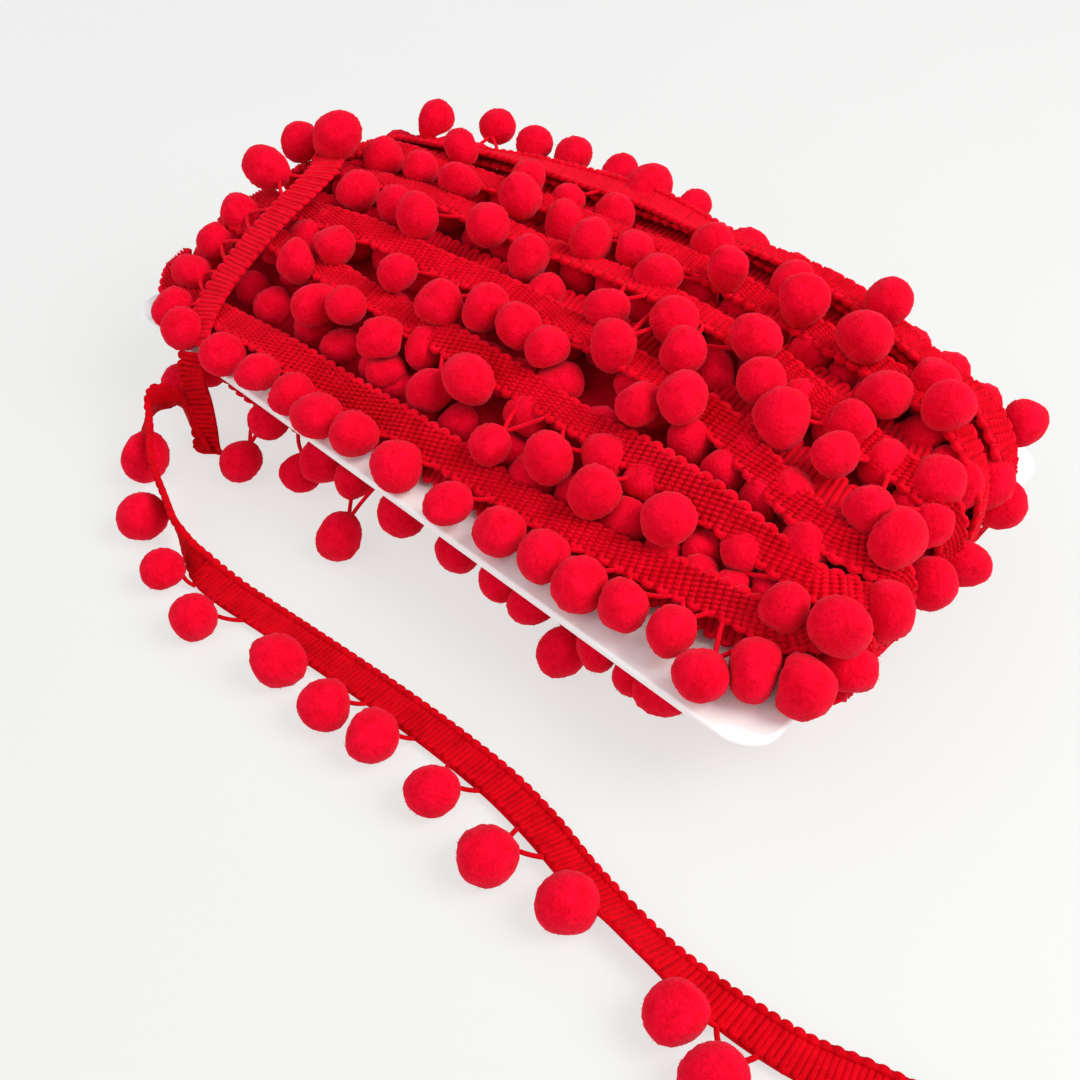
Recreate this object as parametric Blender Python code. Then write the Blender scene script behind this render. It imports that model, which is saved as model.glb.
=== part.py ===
"""A roll of pompom trim: gimp braid with pompoms, wound lengthwise round a flat white card.

X runs along the card's long side, Y along its short side, and the roll rests on z = 0 with the middle
of the card over the origin. Sizes are in millimetres and become metres when a mesh is made.
"""

from dataclasses import dataclass

import bmesh
import bpy
import numpy as np

MM = 0.001
FIT_GAP = 0.3

# The card, which lies a little askew in its winding.
CARD_LENGTH = 188.6
CARD_WIDTH = 103.4
CARD_THICKNESS = 2.0
CARD_CORNER = 7.5
CARD_ROUNDING = 0.6
CARD_MIDDLE_X = -1.6
CARD_MIDDLE_Y = 0.8
CARD_MIDDLE_Z = 20.0
CARD_SKEW = -0.031
CORNER_STEPS = 6
SHARP_ANGLE = 0.8

# The trim.
BRAID_WIDTH = 8.0
BRAID_THICKNESS = 1.8
POMPOM_RADIUS = 5.1
POMPOM_SPREAD = (0.92, 1.08)
POMPOM_FLATNESS = 0.92
POMPOM_PROUD = (0.2, 2.6)
PITCH_WANDER = 0.9
ON_BRAID_REACH = 5.5
ON_BRAID_SHARE = 0.9
THREAD_WIDTH = 1.4
THREAD_SHOWING = (0.4, 1.8)
STEM_AWAY = (0.31, 0.47, 0.83)
SEED = 11

# The wound form: a flattened loop in the XZ plane, whose height changes across the card.
LOOP_MIDDLE_X = -2.5
LOOP_HALF_LENGTH = 97.2
LOOP_SQUARENESS = 4.5
LOOP_SQUARENESS_BELOW = 2.6
LOOP_SAMPLES = 720
SAME_PLACE = 0.01
TURN_STEP = 20.0
TURN_BEND_STEP = 0.5
RIDGE_DEPTH = 4.6
CORE_INSET = 3.6
CORE_END_INSET = 1.2
CORE_AROUND = 40
CORE_ACROSS = (-44.0, -38.0, -24.0, -8.0, 12.0, 30.0, 50.0, 52.5)
FLAT_SPOT = (64.0, 36.0)
FLAT_SPOT_Y = 8.0
FLAT_SPOT_TOP = 8.0
FLAT_SPOT_POINTS = 24
FLAT_SPOT_SPREAD = 1.1
FLAT_SPOT_POWER = 0.5
POMPOM_FLOOR = 0.2
WOUND_NECK = 3.6
WOUND_BALL_CUTS = 3
SKIN_SIZE = 1.9
SKIN_SHARE = 0.16
BRAID_FLOOR = 0.5


@dataclass(frozen=True)
class Rise:
    """How far the outer turns stand above and below the middle of the card at one place across it."""

    y: float
    above: float
    below: float


RISES = (
    Rise(-50.0, 5.0, 5.0),
    Rise(-38.0, 9.5, 10.0),
    Rise(-24.0, 17.5, 17.0),
    Rise(-8.0, 22.5, 20.5),
    Rise(12.0, 25.0, 21.0),
    Rise(30.0, 24.0, 20.5),
    Rise(50.0, 22.0, 14.0),
    Rise(58.0, 18.0, 7.0),
)

TURN_STATIONS = (-84.0, -42.0, 0.0, 42.0, 84.0)
END_PULL = 0.22
END_PULL_FROM = 82.0
UNDER_STATIONS = (-99.0, -66.0, -33.0, 0.0, 33.0, 66.0, 99.0)


@dataclass(frozen=True)
class Turn:
    """One turn round the card.

    y gives where its braid lies above the card, at TURN_STATIONS, and under where it lies below. The
    pompoms above the card are (place along X, reach to the side of the braid's middle). Those below hang
    to side_under, at the places along X that under_pompoms gives, or evenly where it gives none, and tuck
    says how far they are tucked in.
    """

    name: str
    y: tuple[float, float, float, float, float]
    under: float
    side_under: int
    pompoms: tuple[tuple[float, float], ...]
    under_pompoms: tuple[float, ...] = ()
    tuck: float = 0.0


TURNS = (
    Turn("front", (-41.0, -39.5, -40.0, -39.0, -36.0), -42.0, -1,
         ((-71, -8), (-56, -8), (-43, -9), (-33, -8), (-23, -9), (-12, -8), (1, -8), (17, -9.5), (29, -8.5),
          (40, -8.5), (49, -9.5), (58, -9.5), (68, -9.5), (77, -13.5), (83, -8)),
         (-73, -44, -26, -16, -1, 16, 29, 37, 54, 62, 68, 82), 5.0),
    Turn("second", (-19.0, -20.5, -22.0, -23.5, -26.0), -25.0, -1,
         ((-58, -5), (-45, -9), (-36, -7), (-23, -8), (-19, -1), (-1, -10), (1, -4), (15, -13), (28, -10),
          (40, -10), (55, -7), (61, 0), (70, -4), (72, -11), (81, -7))),
    Turn("third", (-10.0, -6.5, -4.0, -8.0, -17.0), -9.0, -1,
         ((-66, -8), (-54, -8), (-33, -9), (-18, -12), (-8, -9), (2, -9), (11, -10), (36, -9), (43, -5),
          (52, -9), (64, -8), (76, -6))),
    Turn("fourth", (10.0, 12.0, 14.0, 12.0, 4.0), 8.0, -1,
         ((-65, -9), (-52, -9), (-42, -12), (-26, -6), (-12, -9), (13, -12), (22, -21), (27, -7), (34, -14),
          (45, -4), (51, -9), (60, -12), (71, -10), (82, -14))),
    Turn("fifth", (24.0, 28.0, 30.0, 27.0, 22.0), 25.0, -1,
         ((-73, -7), (-60, -8), (-47, -9), (-37, 2), (-29, -8), (-17, -9), (-5, -12), (3, -7), (14, -12),
          (26, -3), (44, -1), (60, -2), (70, -9), (81, -5))),
    Turn("back", (37.0, 45.0, 48.5, 45.0, 32.0), 44.0, 1,
         ((-82, 7), (-67, 13), (-53, 9), (-42, 10), (-30, 12), (-17, 7), (-4, 7), (-60, -9), (-25, -9), (14, -11),
          (36, -10), (56, -1), (74, -7))),
)


@dataclass(frozen=True)
class Stop:
    """A place on the last turn or the loose end, and the way that the braid's face looks there."""

    x: float
    y: float
    z: float
    face: tuple[float, float, float]


UP = (0.0, 0.0, 1.0)

LAST_TURN = (
    Stop(-98.0, 24.0, 22.0, (-1.0, 0.0, 0.0)),
    Stop(-96.5, 22.0, 33.0, (-0.9, 0.0, 0.4)),
    Stop(-90.5, 17.0, 42.5, (-0.4, 0.0, 0.9)),
    Stop(-82.0, 8.5, 46.5, UP),
    Stop(-75.5, 0.0, 46.5, (0.0, -0.1, 1.0)),
    Stop(-73.0, -9.0, 45.0, (0.0, -0.25, 1.0)),
    Stop(-72.0, -18.0, 42.5, (0.0, -0.4, 0.9)),
    Stop(-71.5, -28.0, 38.0, (0.0, -0.5, 0.87)),
    Stop(-71.0, -38.0, 32.5, (0.0, -0.55, 0.83)),
    Stop(-69.0, -44.5, 29.0, (0.0, -0.7, 0.7)),
    Stop(-66.5, -49.5, 25.0, (0.1, -0.9, 0.5)),
)

LOOSE_HANG = (
    Stop(-66.1, -50.9, 23.2, (0.2, -0.9, 0.35)),
    Stop(-65.0, -53.0, 19.0, (0.3, -0.95, 0.1)),
    Stop(-62.6, -54.2, 13.0, (0.35, -0.93, 0.0)),
    Stop(-60.6, -55.8, 6.5, (0.4, -0.92, 0.0)),
    Stop(-59.0, -57.2, 0.7, (0.4, -0.92, 0.0)),
)

LOOSE_RUN = (
    Stop(-60.0, -56.0, 1.9, (0.35, 0.94, 0.0)),
    Stop(-63.8, -54.8, 3.4, (0.35, 0.94, 0.0)),
    Stop(-66.4, -54.0, 6.0, (0.3, 0.95, 0.0)),
    Stop(-67.2, -54.0, 9.0, (0.2, 0.98, 0.0)),
    Stop(-68.6, -55.0, 11.6, (0.0, 1.0, 0.0)),
    Stop(-70.6, -57.0, 12.8, (-0.4, 0.9, 0.0)),
    Stop(-72.0, -59.8, 12.9, (-1.0, 0.3, 0.1)),
    Stop(-70.6, -63.0, 12.5, (-0.9, -0.4, 0.3)),
    Stop(-67.8, -65.9, 11.6, (-0.6, -0.6, 0.5)),
    Stop(-63.2, -68.8, 10.8, (-0.5, -0.7, 0.45)),
    Stop(-57.6, -71.8, 10.3, (-0.45, -0.85, 0.2)),
    Stop(-51.0, -74.6, 9.3, (-0.35, -0.94, 0.0)),
    Stop(-44.0, -77.2, 8.4, (-0.33, -0.94, 0.0)),
    Stop(-37.0, -79.8, 6.9, (-0.3, -0.95, 0.0)),
    Stop(-30.5, -81.4, 5.1, (-0.2, -0.9, 0.4)),
    Stop(-24.5, -81.6, 3.6, (0.0, -0.5, 0.87)),
    Stop(-17.0, -80.8, 2.7, (0.0, -0.15, 1.0)),
    Stop(-8.0, -79.6, 2.3, UP),
    Stop(3.0, -78.6, 2.3, UP),
    Stop(16.0, -77.5, 2.3, UP),
    Stop(30.0, -76.5, 2.3, UP),
    Stop(44.0, -76.0, 2.3, UP),
    Stop(56.0, -76.2, 2.4, UP),
    Stop(67.0, -77.5, 2.6, (0.0, 0.1, 1.0)),
    Stop(77.0, -79.5, 3.2, (0.0, 0.4, 0.9)),
    Stop(87.0, -81.0, 3.9, (0.0, 0.75, 0.65)),
    Stop(96.0, -82.0, 3.9, (0.0, 0.7, 0.7)),
    Stop(104.0, -82.0, 3.1, (0.0, 0.3, 0.95)),
    Stop(112.0, -81.0, 2.4, UP),
    Stop(121.0, -79.5, 2.3, UP),
    Stop(130.0, -76.5, 2.3, UP),
    Stop(140.0, -74.0, 2.3, UP),
    Stop(150.0, -72.0, 2.3, UP),
)
LOOSE_STEP = 4.5
LOOSE_BEND_STEP = 0.4
UNDER_REACH = 72.0
UNDER_PITCH = 14.0
LAST_TURN_DEPTH = 3.6

# The stretch of the front turn's route, below the card, that the lowest pompoms hang from.
UNDER_FRONT = np.linspace(240.0, 425.0, 60)


@dataclass(frozen=True)
class Spot:
    """Where a pompom lies that is placed by hand, and how big it is."""

    x: float
    y: float
    z: float
    radius: float = POMPOM_RADIUS


LAST_TURN_POMPOMS = (
    Spot(-80.0, -45.0, 26.6),
    Spot(-84.5, -35.5, 30.0),
    Spot(-87.0, -26.5, 33.5),
    Spot(-87.0, -18.0, 37.5),
    Spot(-88.0, -11.0, 40.5, 4.4),
    Spot(-86.5, -8.5, 46.0, 5.4),
    Spot(-91.0, 6.0, 46.0),
    Spot(-79.0, 8.5, 50.5, 6.4),
)

RIGHT_END_POMPOMS = (
    Spot(90.0, -40.5, 27.0, 6.0),
    Spot(93.5, -30.5, 24.5),
    Spot(90.5, -32.5, 34.5),
    Spot(92.0, -15.5, 25.5),
    Spot(90.0, -22.0, 32.0),
    Spot(88.5, -11.5, 38.0, 5.4),
    Spot(94.0, -4.0, 25.0),
    Spot(89.0, 1.0, 33.0),
    Spot(85.5, 8.5, 35.0, 5.6),
    Spot(95.5, 7.0, 22.5),
    Spot(87.5, 15.0, 32.5, 5.6),
    Spot(90.5, 23.0, 29.5, 5.6),
    Spot(93.5, 26.0, 23.5),
    Spot(89.5, 38.0, 34.5),
)

LOOSE_POMPOMS = (
    Spot(-64.0, -69.6, 5.5, 5.7),
    Spot(-47.8, -81.2, 5.0),
    Spot(-31.0, -87.2, 4.9),
    Spot(-15.0, -90.8, 4.9),
    Spot(6.0, -86.4, 4.9),
    Spot(21.0, -86.8, 4.9),
    Spot(32.4, -85.6, 4.9),
    Spot(48.7, -86.2, 4.9),
    Spot(64.0, -88.5, 4.9),
    Spot(80.0, -86.0, 4.9),
    Spot(103.0, -88.0, 4.9),
    Spot(113.0, -92.0, 4.9),
    Spot(129.0, -87.5, 4.9),
    Spot(144.0, -84.5, 4.9),
)

HANGING_POMPOMS = (
    Spot(-80.5, -47.5, 5.3),
    Spot(-46.5, -55.5, 5.3),
    Spot(-33.0, -49.0, 5.3),
    Spot(-11.0, -56.5, 5.1),
    Spot(46.2, -49.5, 7.0),
)


def rise_at(y):
    """The heights above and below the card's middle, read from RISES by straight lines."""
    places = [row.y for row in RISES]
    above = np.interp(y, places, [row.above for row in RISES])
    below = np.interp(y, places, [row.below for row in RISES])
    return above, below


def loop_xz(angle, y, inset, end_inset=0.0):
    """A point of the flattened loop at an angle from +X, moved inwards above, below and at the ends."""
    above, below = rise_at(y)
    reach = np.where(np.sin(angle) >= 0, above, below) - inset
    power = 2.0 / np.where(np.sin(angle) >= 0, LOOP_SQUARENESS, LOOP_SQUARENESS_BELOW)
    x = np.sign(np.cos(angle)) * np.abs(np.cos(angle)) ** power * (LOOP_HALF_LENGTH - end_inset)
    z = np.sign(np.sin(angle)) * np.abs(np.sin(angle)) ** power * reach
    return LOOP_MIDDLE_X + x, CARD_MIDDLE_Z + z


def smooth_through(stations, values, at):
    """A smooth curve through the values at evenly spaced stations, level past both ends."""
    v = np.asarray(values, float)
    slopes = np.gradient(v)
    slopes[[0, -1]] = 0.0
    place = np.clip((np.asarray(at) - stations[0]) / (stations[1] - stations[0]), 0, len(v) - 1)
    i = np.minimum(place.astype(int), len(v) - 2)
    t = place - i
    start = (1 + 2 * t) * (1 - t) ** 2 * v[i] + t * (1 - t) ** 2 * slopes[i]
    end = t * t * (3 - 2 * t) * v[i + 1] + t * t * (t - 1) * slopes[i + 1]
    return start + end


def unit(vectors):
    """The same vectors at length one."""
    return vectors / np.linalg.norm(vectors, axis=-1, keepdims=True)


@dataclass
class Line:
    """A braid's route: its middle points, the way across it and the way out of its face."""

    points: np.ndarray
    across: np.ndarray
    out: np.ndarray
    angle: np.ndarray

    def along(self):
        """How far along the route each point lies."""
        steps = np.linalg.norm(np.diff(self.points, axis=0), axis=1)
        return np.concatenate([[0.0], np.cumsum(steps)])

    def at(self, places):
        """The same route read at the given lengths along it."""
        along = self.along()

        def read(table):
            return np.stack([np.interp(places, along, table[:, k]) for k in range(3)], axis=1)

        angle = np.interp(places, along, self.angle)
        return Line(read(self.points), unit(read(self.across)), unit(read(self.out)), angle)

    def mirrored(self):
        """The same route with its pompom edge on the other side."""
        return Line(self.points, -self.across, self.out, self.angle)

    def thinned(self, step, bend_step):
        """The same route with points about step apart, and closer where it bends."""
        along = self.along()
        ahead = unit(np.gradient(self.points, axis=0))
        turned = np.arccos(np.clip(np.sum(ahead[1:] * ahead[:-1], axis=1), -1.0, 1.0))
        effort = along / step + np.concatenate([[0.0], np.cumsum(turned)]) / bend_step
        marks = np.linspace(0.0, effort[-1], int(round(effort[-1])) + 1)
        return self.at(np.interp(marks, effort, along))


def end_pull(x):
    """How much of its place across the card a turn keeps, as it closes in round the card's ends."""
    past = np.abs(x - LOOP_MIDDLE_X) - END_PULL_FROM
    t = np.clip(past / (LOOP_HALF_LENGTH - END_PULL_FROM), 0.0, 1.0)
    return 1.0 - END_PULL * t * t * (3 - 2 * t)


def turn_y(turn, x):
    """Where a turn's braid lies above the card."""
    return smooth_through(TURN_STATIONS, turn.y, x) * end_pull(x)


def turn_line(index):
    """The middle of one turn's outer face: over the top to the right, and back underneath."""
    turn = TURNS[index]
    following = TURNS[min(index + 1, len(TURNS) - 1)]
    angle = np.linspace(np.pi, -np.pi, LOOP_SAMPLES)
    x = loop_xz(angle, 0.0 * angle, 0.0)[0]
    below = (following.y[0],) + (turn.under,) * (len(UNDER_STATIONS) - 2) + (turn.y[-1],)
    under = smooth_through(UNDER_STATIONS, below, x) * end_pull(x)
    return wound_line(angle, np.where(np.sin(angle) >= 0, turn_y(turn, x), under))


def wound_line(angle, y):
    """A route that lies on the wound form at the given angles and places across it."""
    x, z = loop_xz(angle, y, 0.0)
    points = np.stack([x, y, z], axis=1)
    ahead = unit(np.gradient(points, axis=0))
    near = np.stack([x, y - 1.0, loop_xz(angle, y - 1.0, 0.0)[1]], axis=1)
    far = np.stack([x, y + 1.0, loop_xz(angle, y + 1.0, 0.0)[1]], axis=1)
    across = far - near
    across = unit(across - np.sum(across * ahead, axis=1, keepdims=True) * ahead)
    return Line(points, across, np.cross(ahead, across), angle)


def joined(lines):
    """Routes that follow one another, as one."""
    tables = [np.concatenate([getattr(line, name) for line in lines]) for name in Line.__annotations__]
    keep = np.concatenate([[True], np.linalg.norm(np.diff(tables[0], axis=0), axis=1) > SAME_PLACE])
    return Line(*[table[keep] for table in tables])


class Solid:
    """Closed shapes gathered in one mesh, in millimetres."""

    def __init__(self):
        self.verts = []
        self.faces = []

    def add(self, verts, faces):
        """Adds one closed shape."""
        start = len(self.verts)
        self.verts.extend(tuple(float(c) for c in v) for v in verts)
        self.faces.extend(tuple(int(i) + start for i in f) for f in faces)

    def sweep(self, line, width, depth):
        """A bar of oblong section along a route, its outer face on the route's points."""
        half = line.across * width / 2
        low = line.points - line.out * depth
        rings = np.stack([line.points - half, line.points + half, low + half, low - half], axis=1)
        rings[..., 2] = np.maximum(rings[..., 2], BRAID_FLOOR)
        self.loft(rings)

    def loft(self, rings):
        """A closed bar through rings of equal count, each seen anticlockwise from its end."""
        count = rings.shape[1]
        faces = [
            (i * count + j, i * count + (j + 1) % count, (i + 1) * count + (j + 1) % count, (i + 1) * count + j)
            for i in range(len(rings) - 1)
            for j in range(count)
        ]
        last = (len(rings) - 1) * count
        faces.append(tuple(reversed(range(count))))
        faces.append(tuple(last + j for j in range(count)))
        self.add(rings.reshape(-1, 3), faces)

    def ball(self, centre, radius, flat, template):
        """A ball, a little flat from top to bottom."""
        verts, faces = template
        self.add(np.asarray(centre) + verts * radius * np.array([1.0, 1.0, flat]), faces)

    def stem(self, start, end, width):
        """A four-sided thread between two points."""
        ahead = unit(np.asarray(end, float) - start)
        side = unit(np.cross(ahead, STEM_AWAY))
        up = np.cross(ahead, side)
        ring = np.array([side, up, -side, -up]) * width / 2
        self.loft(np.stack([start + ring, end + ring]))

    def hang(self, pompoms):
        """Pompoms, each on a thread from its root."""
        ball = ball_template(1)
        for centre, radius, root in pompoms:
            self.ball(centre, radius, POMPOM_FLATNESS, ball)
            self.stem(root, centre, THREAD_WIDTH)


def ball_template(finer):
    """The points and faces of a ball of radius one, from an eight-sided solid cut finer."""
    bm = bmesh.new()
    bmesh.ops.create_uvsphere(bm, u_segments=4, v_segments=2, radius=1.0)
    bmesh.ops.subdivide_edges(bm, edges=bm.edges, cuts=finer, use_grid_fill=True)
    verts = unit(np.array([v.co for v in bm.verts]))
    faces = [tuple(v.index for v in f.verts) for f in bm.faces]
    bm.free()
    return verts, faces


def stop_line(stops, step):
    """A smooth route through hand-placed stops, its braid turned to face the way each one says."""
    places = np.array([(stop.x, stop.y, stop.z) for stop in stops])
    faces = unit(np.array([stop.face for stop in stops], float))
    chord = np.concatenate([[0.0], np.cumsum(np.linalg.norm(np.diff(places, axis=0), axis=1))])
    at = np.linspace(0.0, chord[-1], int(round(chord[-1] / step)) + 1)
    points = np.stack([hermite(chord, places[:, k], at) for k in range(3)], axis=1)
    ahead = unit(np.gradient(points, axis=0))
    out = np.stack([np.interp(at, chord, faces[:, k]) for k in range(3)], axis=1)
    out = unit(out - np.sum(out * ahead, axis=1, keepdims=True) * ahead)
    return Line(points, np.cross(ahead, out), out, np.zeros(len(at)))


def hermite(knots, values, at):
    """A smooth curve through values at uneven knots."""
    slopes = np.gradient(values, knots)
    i = np.clip(np.searchsorted(knots, at, side="right") - 1, 0, len(knots) - 2)
    gap = knots[i + 1] - knots[i]
    t = (at - knots[i]) / gap
    start = (1 + 2 * t) * (1 - t) ** 2 * values[i] + t * (1 - t) ** 2 * slopes[i] * gap
    end = t * t * (3 - 2 * t) * values[i + 1] + t * t * (t - 1) * slopes[i + 1] * gap
    return start + end


def card_outline(grow):
    """The card's rounded outline, moved outwards by grow."""
    quarter = np.linspace(0.0, np.pi / 2, CORNER_STEPS + 1)
    corner = np.stack([np.cos(quarter), np.sin(quarter)], axis=1) * (CARD_CORNER + grow)
    x = CARD_LENGTH / 2 - CARD_CORNER
    y = CARD_WIDTH / 2 - CARD_CORNER
    centres = ((x, y), (-x, y), (-x, -y), (x, -y))
    parts = [corner @ spin(i * np.pi / 2) + centre for i, centre in enumerate(centres)]
    return np.concatenate(parts) @ spin(CARD_SKEW) + (CARD_MIDDLE_X, CARD_MIDDLE_Y)


def spin(angle):
    """The matrix that turns rows of x and y anticlockwise."""
    return np.array([[np.cos(angle), np.sin(angle)], [-np.sin(angle), np.cos(angle)]])


def card_rings(grow, rounding):
    """Rings up through the card, its edges rounded over."""
    half = CARD_THICKNESS / 2 + grow
    levels = ((-half, -rounding), (rounding - half, 0.0), (half - rounding, 0.0), (half, -rounding))
    rings = []
    for z, inward in levels:
        outline = card_outline(grow + inward)
        rings.append(np.column_stack([outline, np.full(len(outline), CARD_MIDDLE_Z + z)]))
    return np.stack(rings)


def core_rings():
    """Rings across the wound form, a little inside its outer turns, and drawn in with them at the ends."""
    angle = np.linspace(0.0, 2 * np.pi, CORE_AROUND, endpoint=False)
    rings = []
    for y in CORE_ACROSS:
        x = loop_xz(angle, y + 0.0 * angle, CORE_INSET, CORE_END_INSET)[0]
        outermost = TURNS[0] if y < 0 else TURNS[-1]
        drawn_in = y * turn_y(outermost, x) / turn_y(outermost, 0.0)
        z = loop_xz(angle, drawn_in, CORE_INSET, CORE_END_INSET)[1]
        rings.append(np.stack([x, drawn_in, np.maximum(z, BRAID_FLOOR + BRAID_THICKNESS)], axis=1))
    return np.stack(rings)


def flat_spot_rings():
    """Rings up through the flat spot that the roll rests on."""
    angle = np.linspace(0.0, 2 * np.pi, FLAT_SPOT_POINTS, endpoint=False)
    rings = []
    for z, share in ((0.0, 1.0), (FLAT_SPOT_TOP, FLAT_SPOT_SPREAD)):
        x = np.sign(np.cos(angle)) * np.abs(np.cos(angle)) ** FLAT_SPOT_POWER * FLAT_SPOT[0] / 2 * share
        y = np.sign(np.sin(angle)) * np.abs(np.sin(angle)) ** FLAT_SPOT_POWER * FLAT_SPOT[1] / 2 * share
        rings.append(np.stack([x, y + FLAT_SPOT_Y, np.full(FLAT_SPOT_POINTS, z)], axis=1))
    return np.stack(rings)


def settle(x, y, z, radius):
    """Lifts or lowers a pompom clear of the card and of the table."""
    across_x, across_y = np.abs((x - CARD_MIDDLE_X, y - CARD_MIDDLE_Y) @ spin(-CARD_SKEW))
    over_card = across_x < CARD_LENGTH / 2 + radius and across_y < CARD_WIDTH / 2 + radius
    clear = CARD_THICKNESS / 2 + FIT_GAP + radius
    if over_card and abs(z - CARD_MIDDLE_Z) < clear:
        z = CARD_MIDDLE_Z + np.copysign(clear, z - CARD_MIDDLE_Z)
    return np.array([x, y, max(z, radius * POMPOM_FLATNESS + POMPOM_FLOOR)])


def top_z(x, y):
    """The height of the wound form's outer face above the card."""
    share = 1.0 - np.minimum(np.abs(x - LOOP_MIDDLE_X) / LOOP_HALF_LENGTH, 1.0) ** LOOP_SQUARENESS
    return CARD_MIDDLE_Z + rise_at(y)[0] * share ** (1.0 / LOOP_SQUARENESS)


def top_pompoms(turn, rng):
    """The pompoms along one turn above the card: (centre, radius, root on the braid's edge) for each."""
    found = []
    for x, reach in turn.pompoms:
        radius = POMPOM_RADIUS * rng.uniform(*POMPOM_SPREAD)
        middle = float(turn_y(turn, x))
        on_braid = abs(reach) < ON_BRAID_REACH
        proud = radius * ON_BRAID_SHARE if on_braid else rng.uniform(*POMPOM_PROUD)
        y = middle + reach
        centre = settle(x, y, float(top_z(x, y)) + proud, radius)
        edge = middle + np.copysign(BRAID_WIDTH / 2 - THREAD_WIDTH, reach)
        root = np.array([x, edge, float(top_z(x, edge)) - BRAID_THICKNESS])
        found.append((centre, radius, root))
    return found


def under_pompoms(index, rng):
    """The pompoms along one turn below the card."""
    turn = TURNS[index]
    line = turn_line(index)
    evenly = np.arange(UNDER_REACH, -UNDER_REACH, -UNDER_PITCH)
    evenly = evenly + rng.normal(0.0, PITCH_WANDER, len(evenly))
    places = np.sort(turn.under_pompoms or evenly)[::-1]
    below = line.points[:, 2] < CARD_MIDDLE_Z - FIT_GAP
    rooted = line.at(np.interp(-places, -line.points[below, 0], line.along()[below]))
    found = []
    for k in range(len(places)):
        radius = POMPOM_RADIUS * rng.uniform(*POMPOM_SPREAD)
        hang = BRAID_WIDTH / 2 + radius + rng.uniform(*THREAD_SHOWING) - turn.tuck
        y = rooted.points[k, 1] + turn.side_under * hang
        proud = rng.uniform(*POMPOM_PROUD)
        x, z = loop_xz(rooted.angle[k], y, -proud)
        root = rooted.points[k] + rooted.across[k] * turn.side_under * (BRAID_WIDTH / 2 - THREAD_WIDTH)
        root = root - rooted.out[k] * BRAID_THICKNESS / 2
        found.append((settle(float(x), y, float(z), radius), radius, root))
    return found


def spot_pompoms(spots, line):
    """Pompoms that hang by themselves, each from the nearest place on a braid's edge."""
    edge = line.points + line.across * (BRAID_WIDTH / 2 - THREAD_WIDTH) - line.out * BRAID_THICKNESS / 2
    found = []
    for spot in spots:
        centre = np.array([spot.x, spot.y, spot.z])
        nearest = np.argmin(np.linalg.norm(edge - centre, axis=1))
        found.append((centre, spot.radius, edge[nearest]))
    return found


def new_material(name, colour, roughness):
    """A plain finish."""
    material = bpy.data.materials.new(name)
    material.use_nodes = True
    shader = material.node_tree.nodes["Principled BSDF"]
    shader.inputs["Base Color"].default_value = (*colour, 1.0)
    shader.inputs["Roughness"].default_value = roughness
    shader.inputs["Metallic"].default_value = 0.0
    return material


def new_object(name, solid, material):
    """A mesh object of the gathered shapes, in metres, with its faces pointing out."""
    mesh = bpy.data.meshes.new(name)
    mesh.from_pydata([tuple(c * MM for c in v) for v in solid.verts], [], solid.faces)
    bm = bmesh.new()
    bm.from_mesh(mesh)
    bmesh.ops.recalc_face_normals(bm, faces=bm.faces)
    bm.to_mesh(mesh)
    bm.free()
    mesh.materials.append(material)
    thing = bpy.data.objects.new(name, mesh)
    bpy.context.scene.collection.objects.link(thing)
    return thing


def cut_or_join(thing, other, operation):
    """Joins another object's shapes to this one, or cuts them from it, by a live Boolean."""
    modifier = thing.modifiers.new(other.name, "BOOLEAN")
    modifier.operation = operation
    modifier.solver = "EXACT"
    modifier.use_self = operation == "UNION"
    modifier.object = other
    other.hide_render = True
    other.display_type = "WIRE"


def smooth(thing):
    """Shades the rounded faces smooth and leaves the sharper edges."""
    thing.data.shade_smooth()
    thing.data.set_sharp_from_angle(angle=SHARP_ANGLE)


def build_card(material):
    """The flat white card."""
    solid = Solid()
    solid.loft(card_rings(0.0, CARD_ROUNDING))
    smooth(new_object("card", solid, material))


def build_winding(material):
    """The wound trim: its form, its outer turns and their pompoms, with a slot for the card."""
    rng = np.random.default_rng(SEED)
    wound = Solid()
    wound.loft(core_rings())
    route = joined([turn_line(index) for index in range(len(TURNS))])
    wound.sweep(route.thinned(TURN_STEP, TURN_BEND_STEP), BRAID_WIDTH, RIDGE_DEPTH)
    last = stop_line(LAST_TURN, LOOSE_STEP)
    wound.sweep(last, BRAID_WIDTH, LAST_TURN_DEPTH)
    front = route.mirrored()
    pompoms = spot_pompoms(LAST_TURN_POMPOMS, last) + spot_pompoms(RIGHT_END_POMPOMS, front)
    for index, turn in enumerate(TURNS):
        pompoms += top_pompoms(turn, rng) + under_pompoms(index, rng)
    ball = ball_template(WOUND_BALL_CUTS)
    for centre, radius, root in pompoms:
        wound.ball(centre, radius, POMPOM_FLATNESS, ball)
        root[2] = max(root[2], BRAID_FLOOR + WOUND_NECK / 2)
        wound.stem(root, centre, WOUND_NECK)
    winding = new_object("winding", wound, material)
    skin = winding.modifiers.new("one_skin", "REMESH")
    skin.mode = "VOXEL"
    skin.voxel_size = SKIN_SIZE * MM
    skin.use_smooth_shade = True
    fewer = winding.modifiers.new("fewer_faces", "DECIMATE")
    fewer.ratio = SKIN_SHARE
    below = Solid()
    below.loft(flat_spot_rings())
    below.hang(spot_pompoms(HANGING_POMPOMS, turn_line(0).mirrored().at(UNDER_FRONT)))
    cut_or_join(winding, new_object("winding_base", below, material), "UNION")
    slot = Solid()
    slot.loft(card_rings(FIT_GAP, CARD_ROUNDING))
    cut_or_join(winding, new_object("card_slot", slot, material), "DIFFERENCE")


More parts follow.
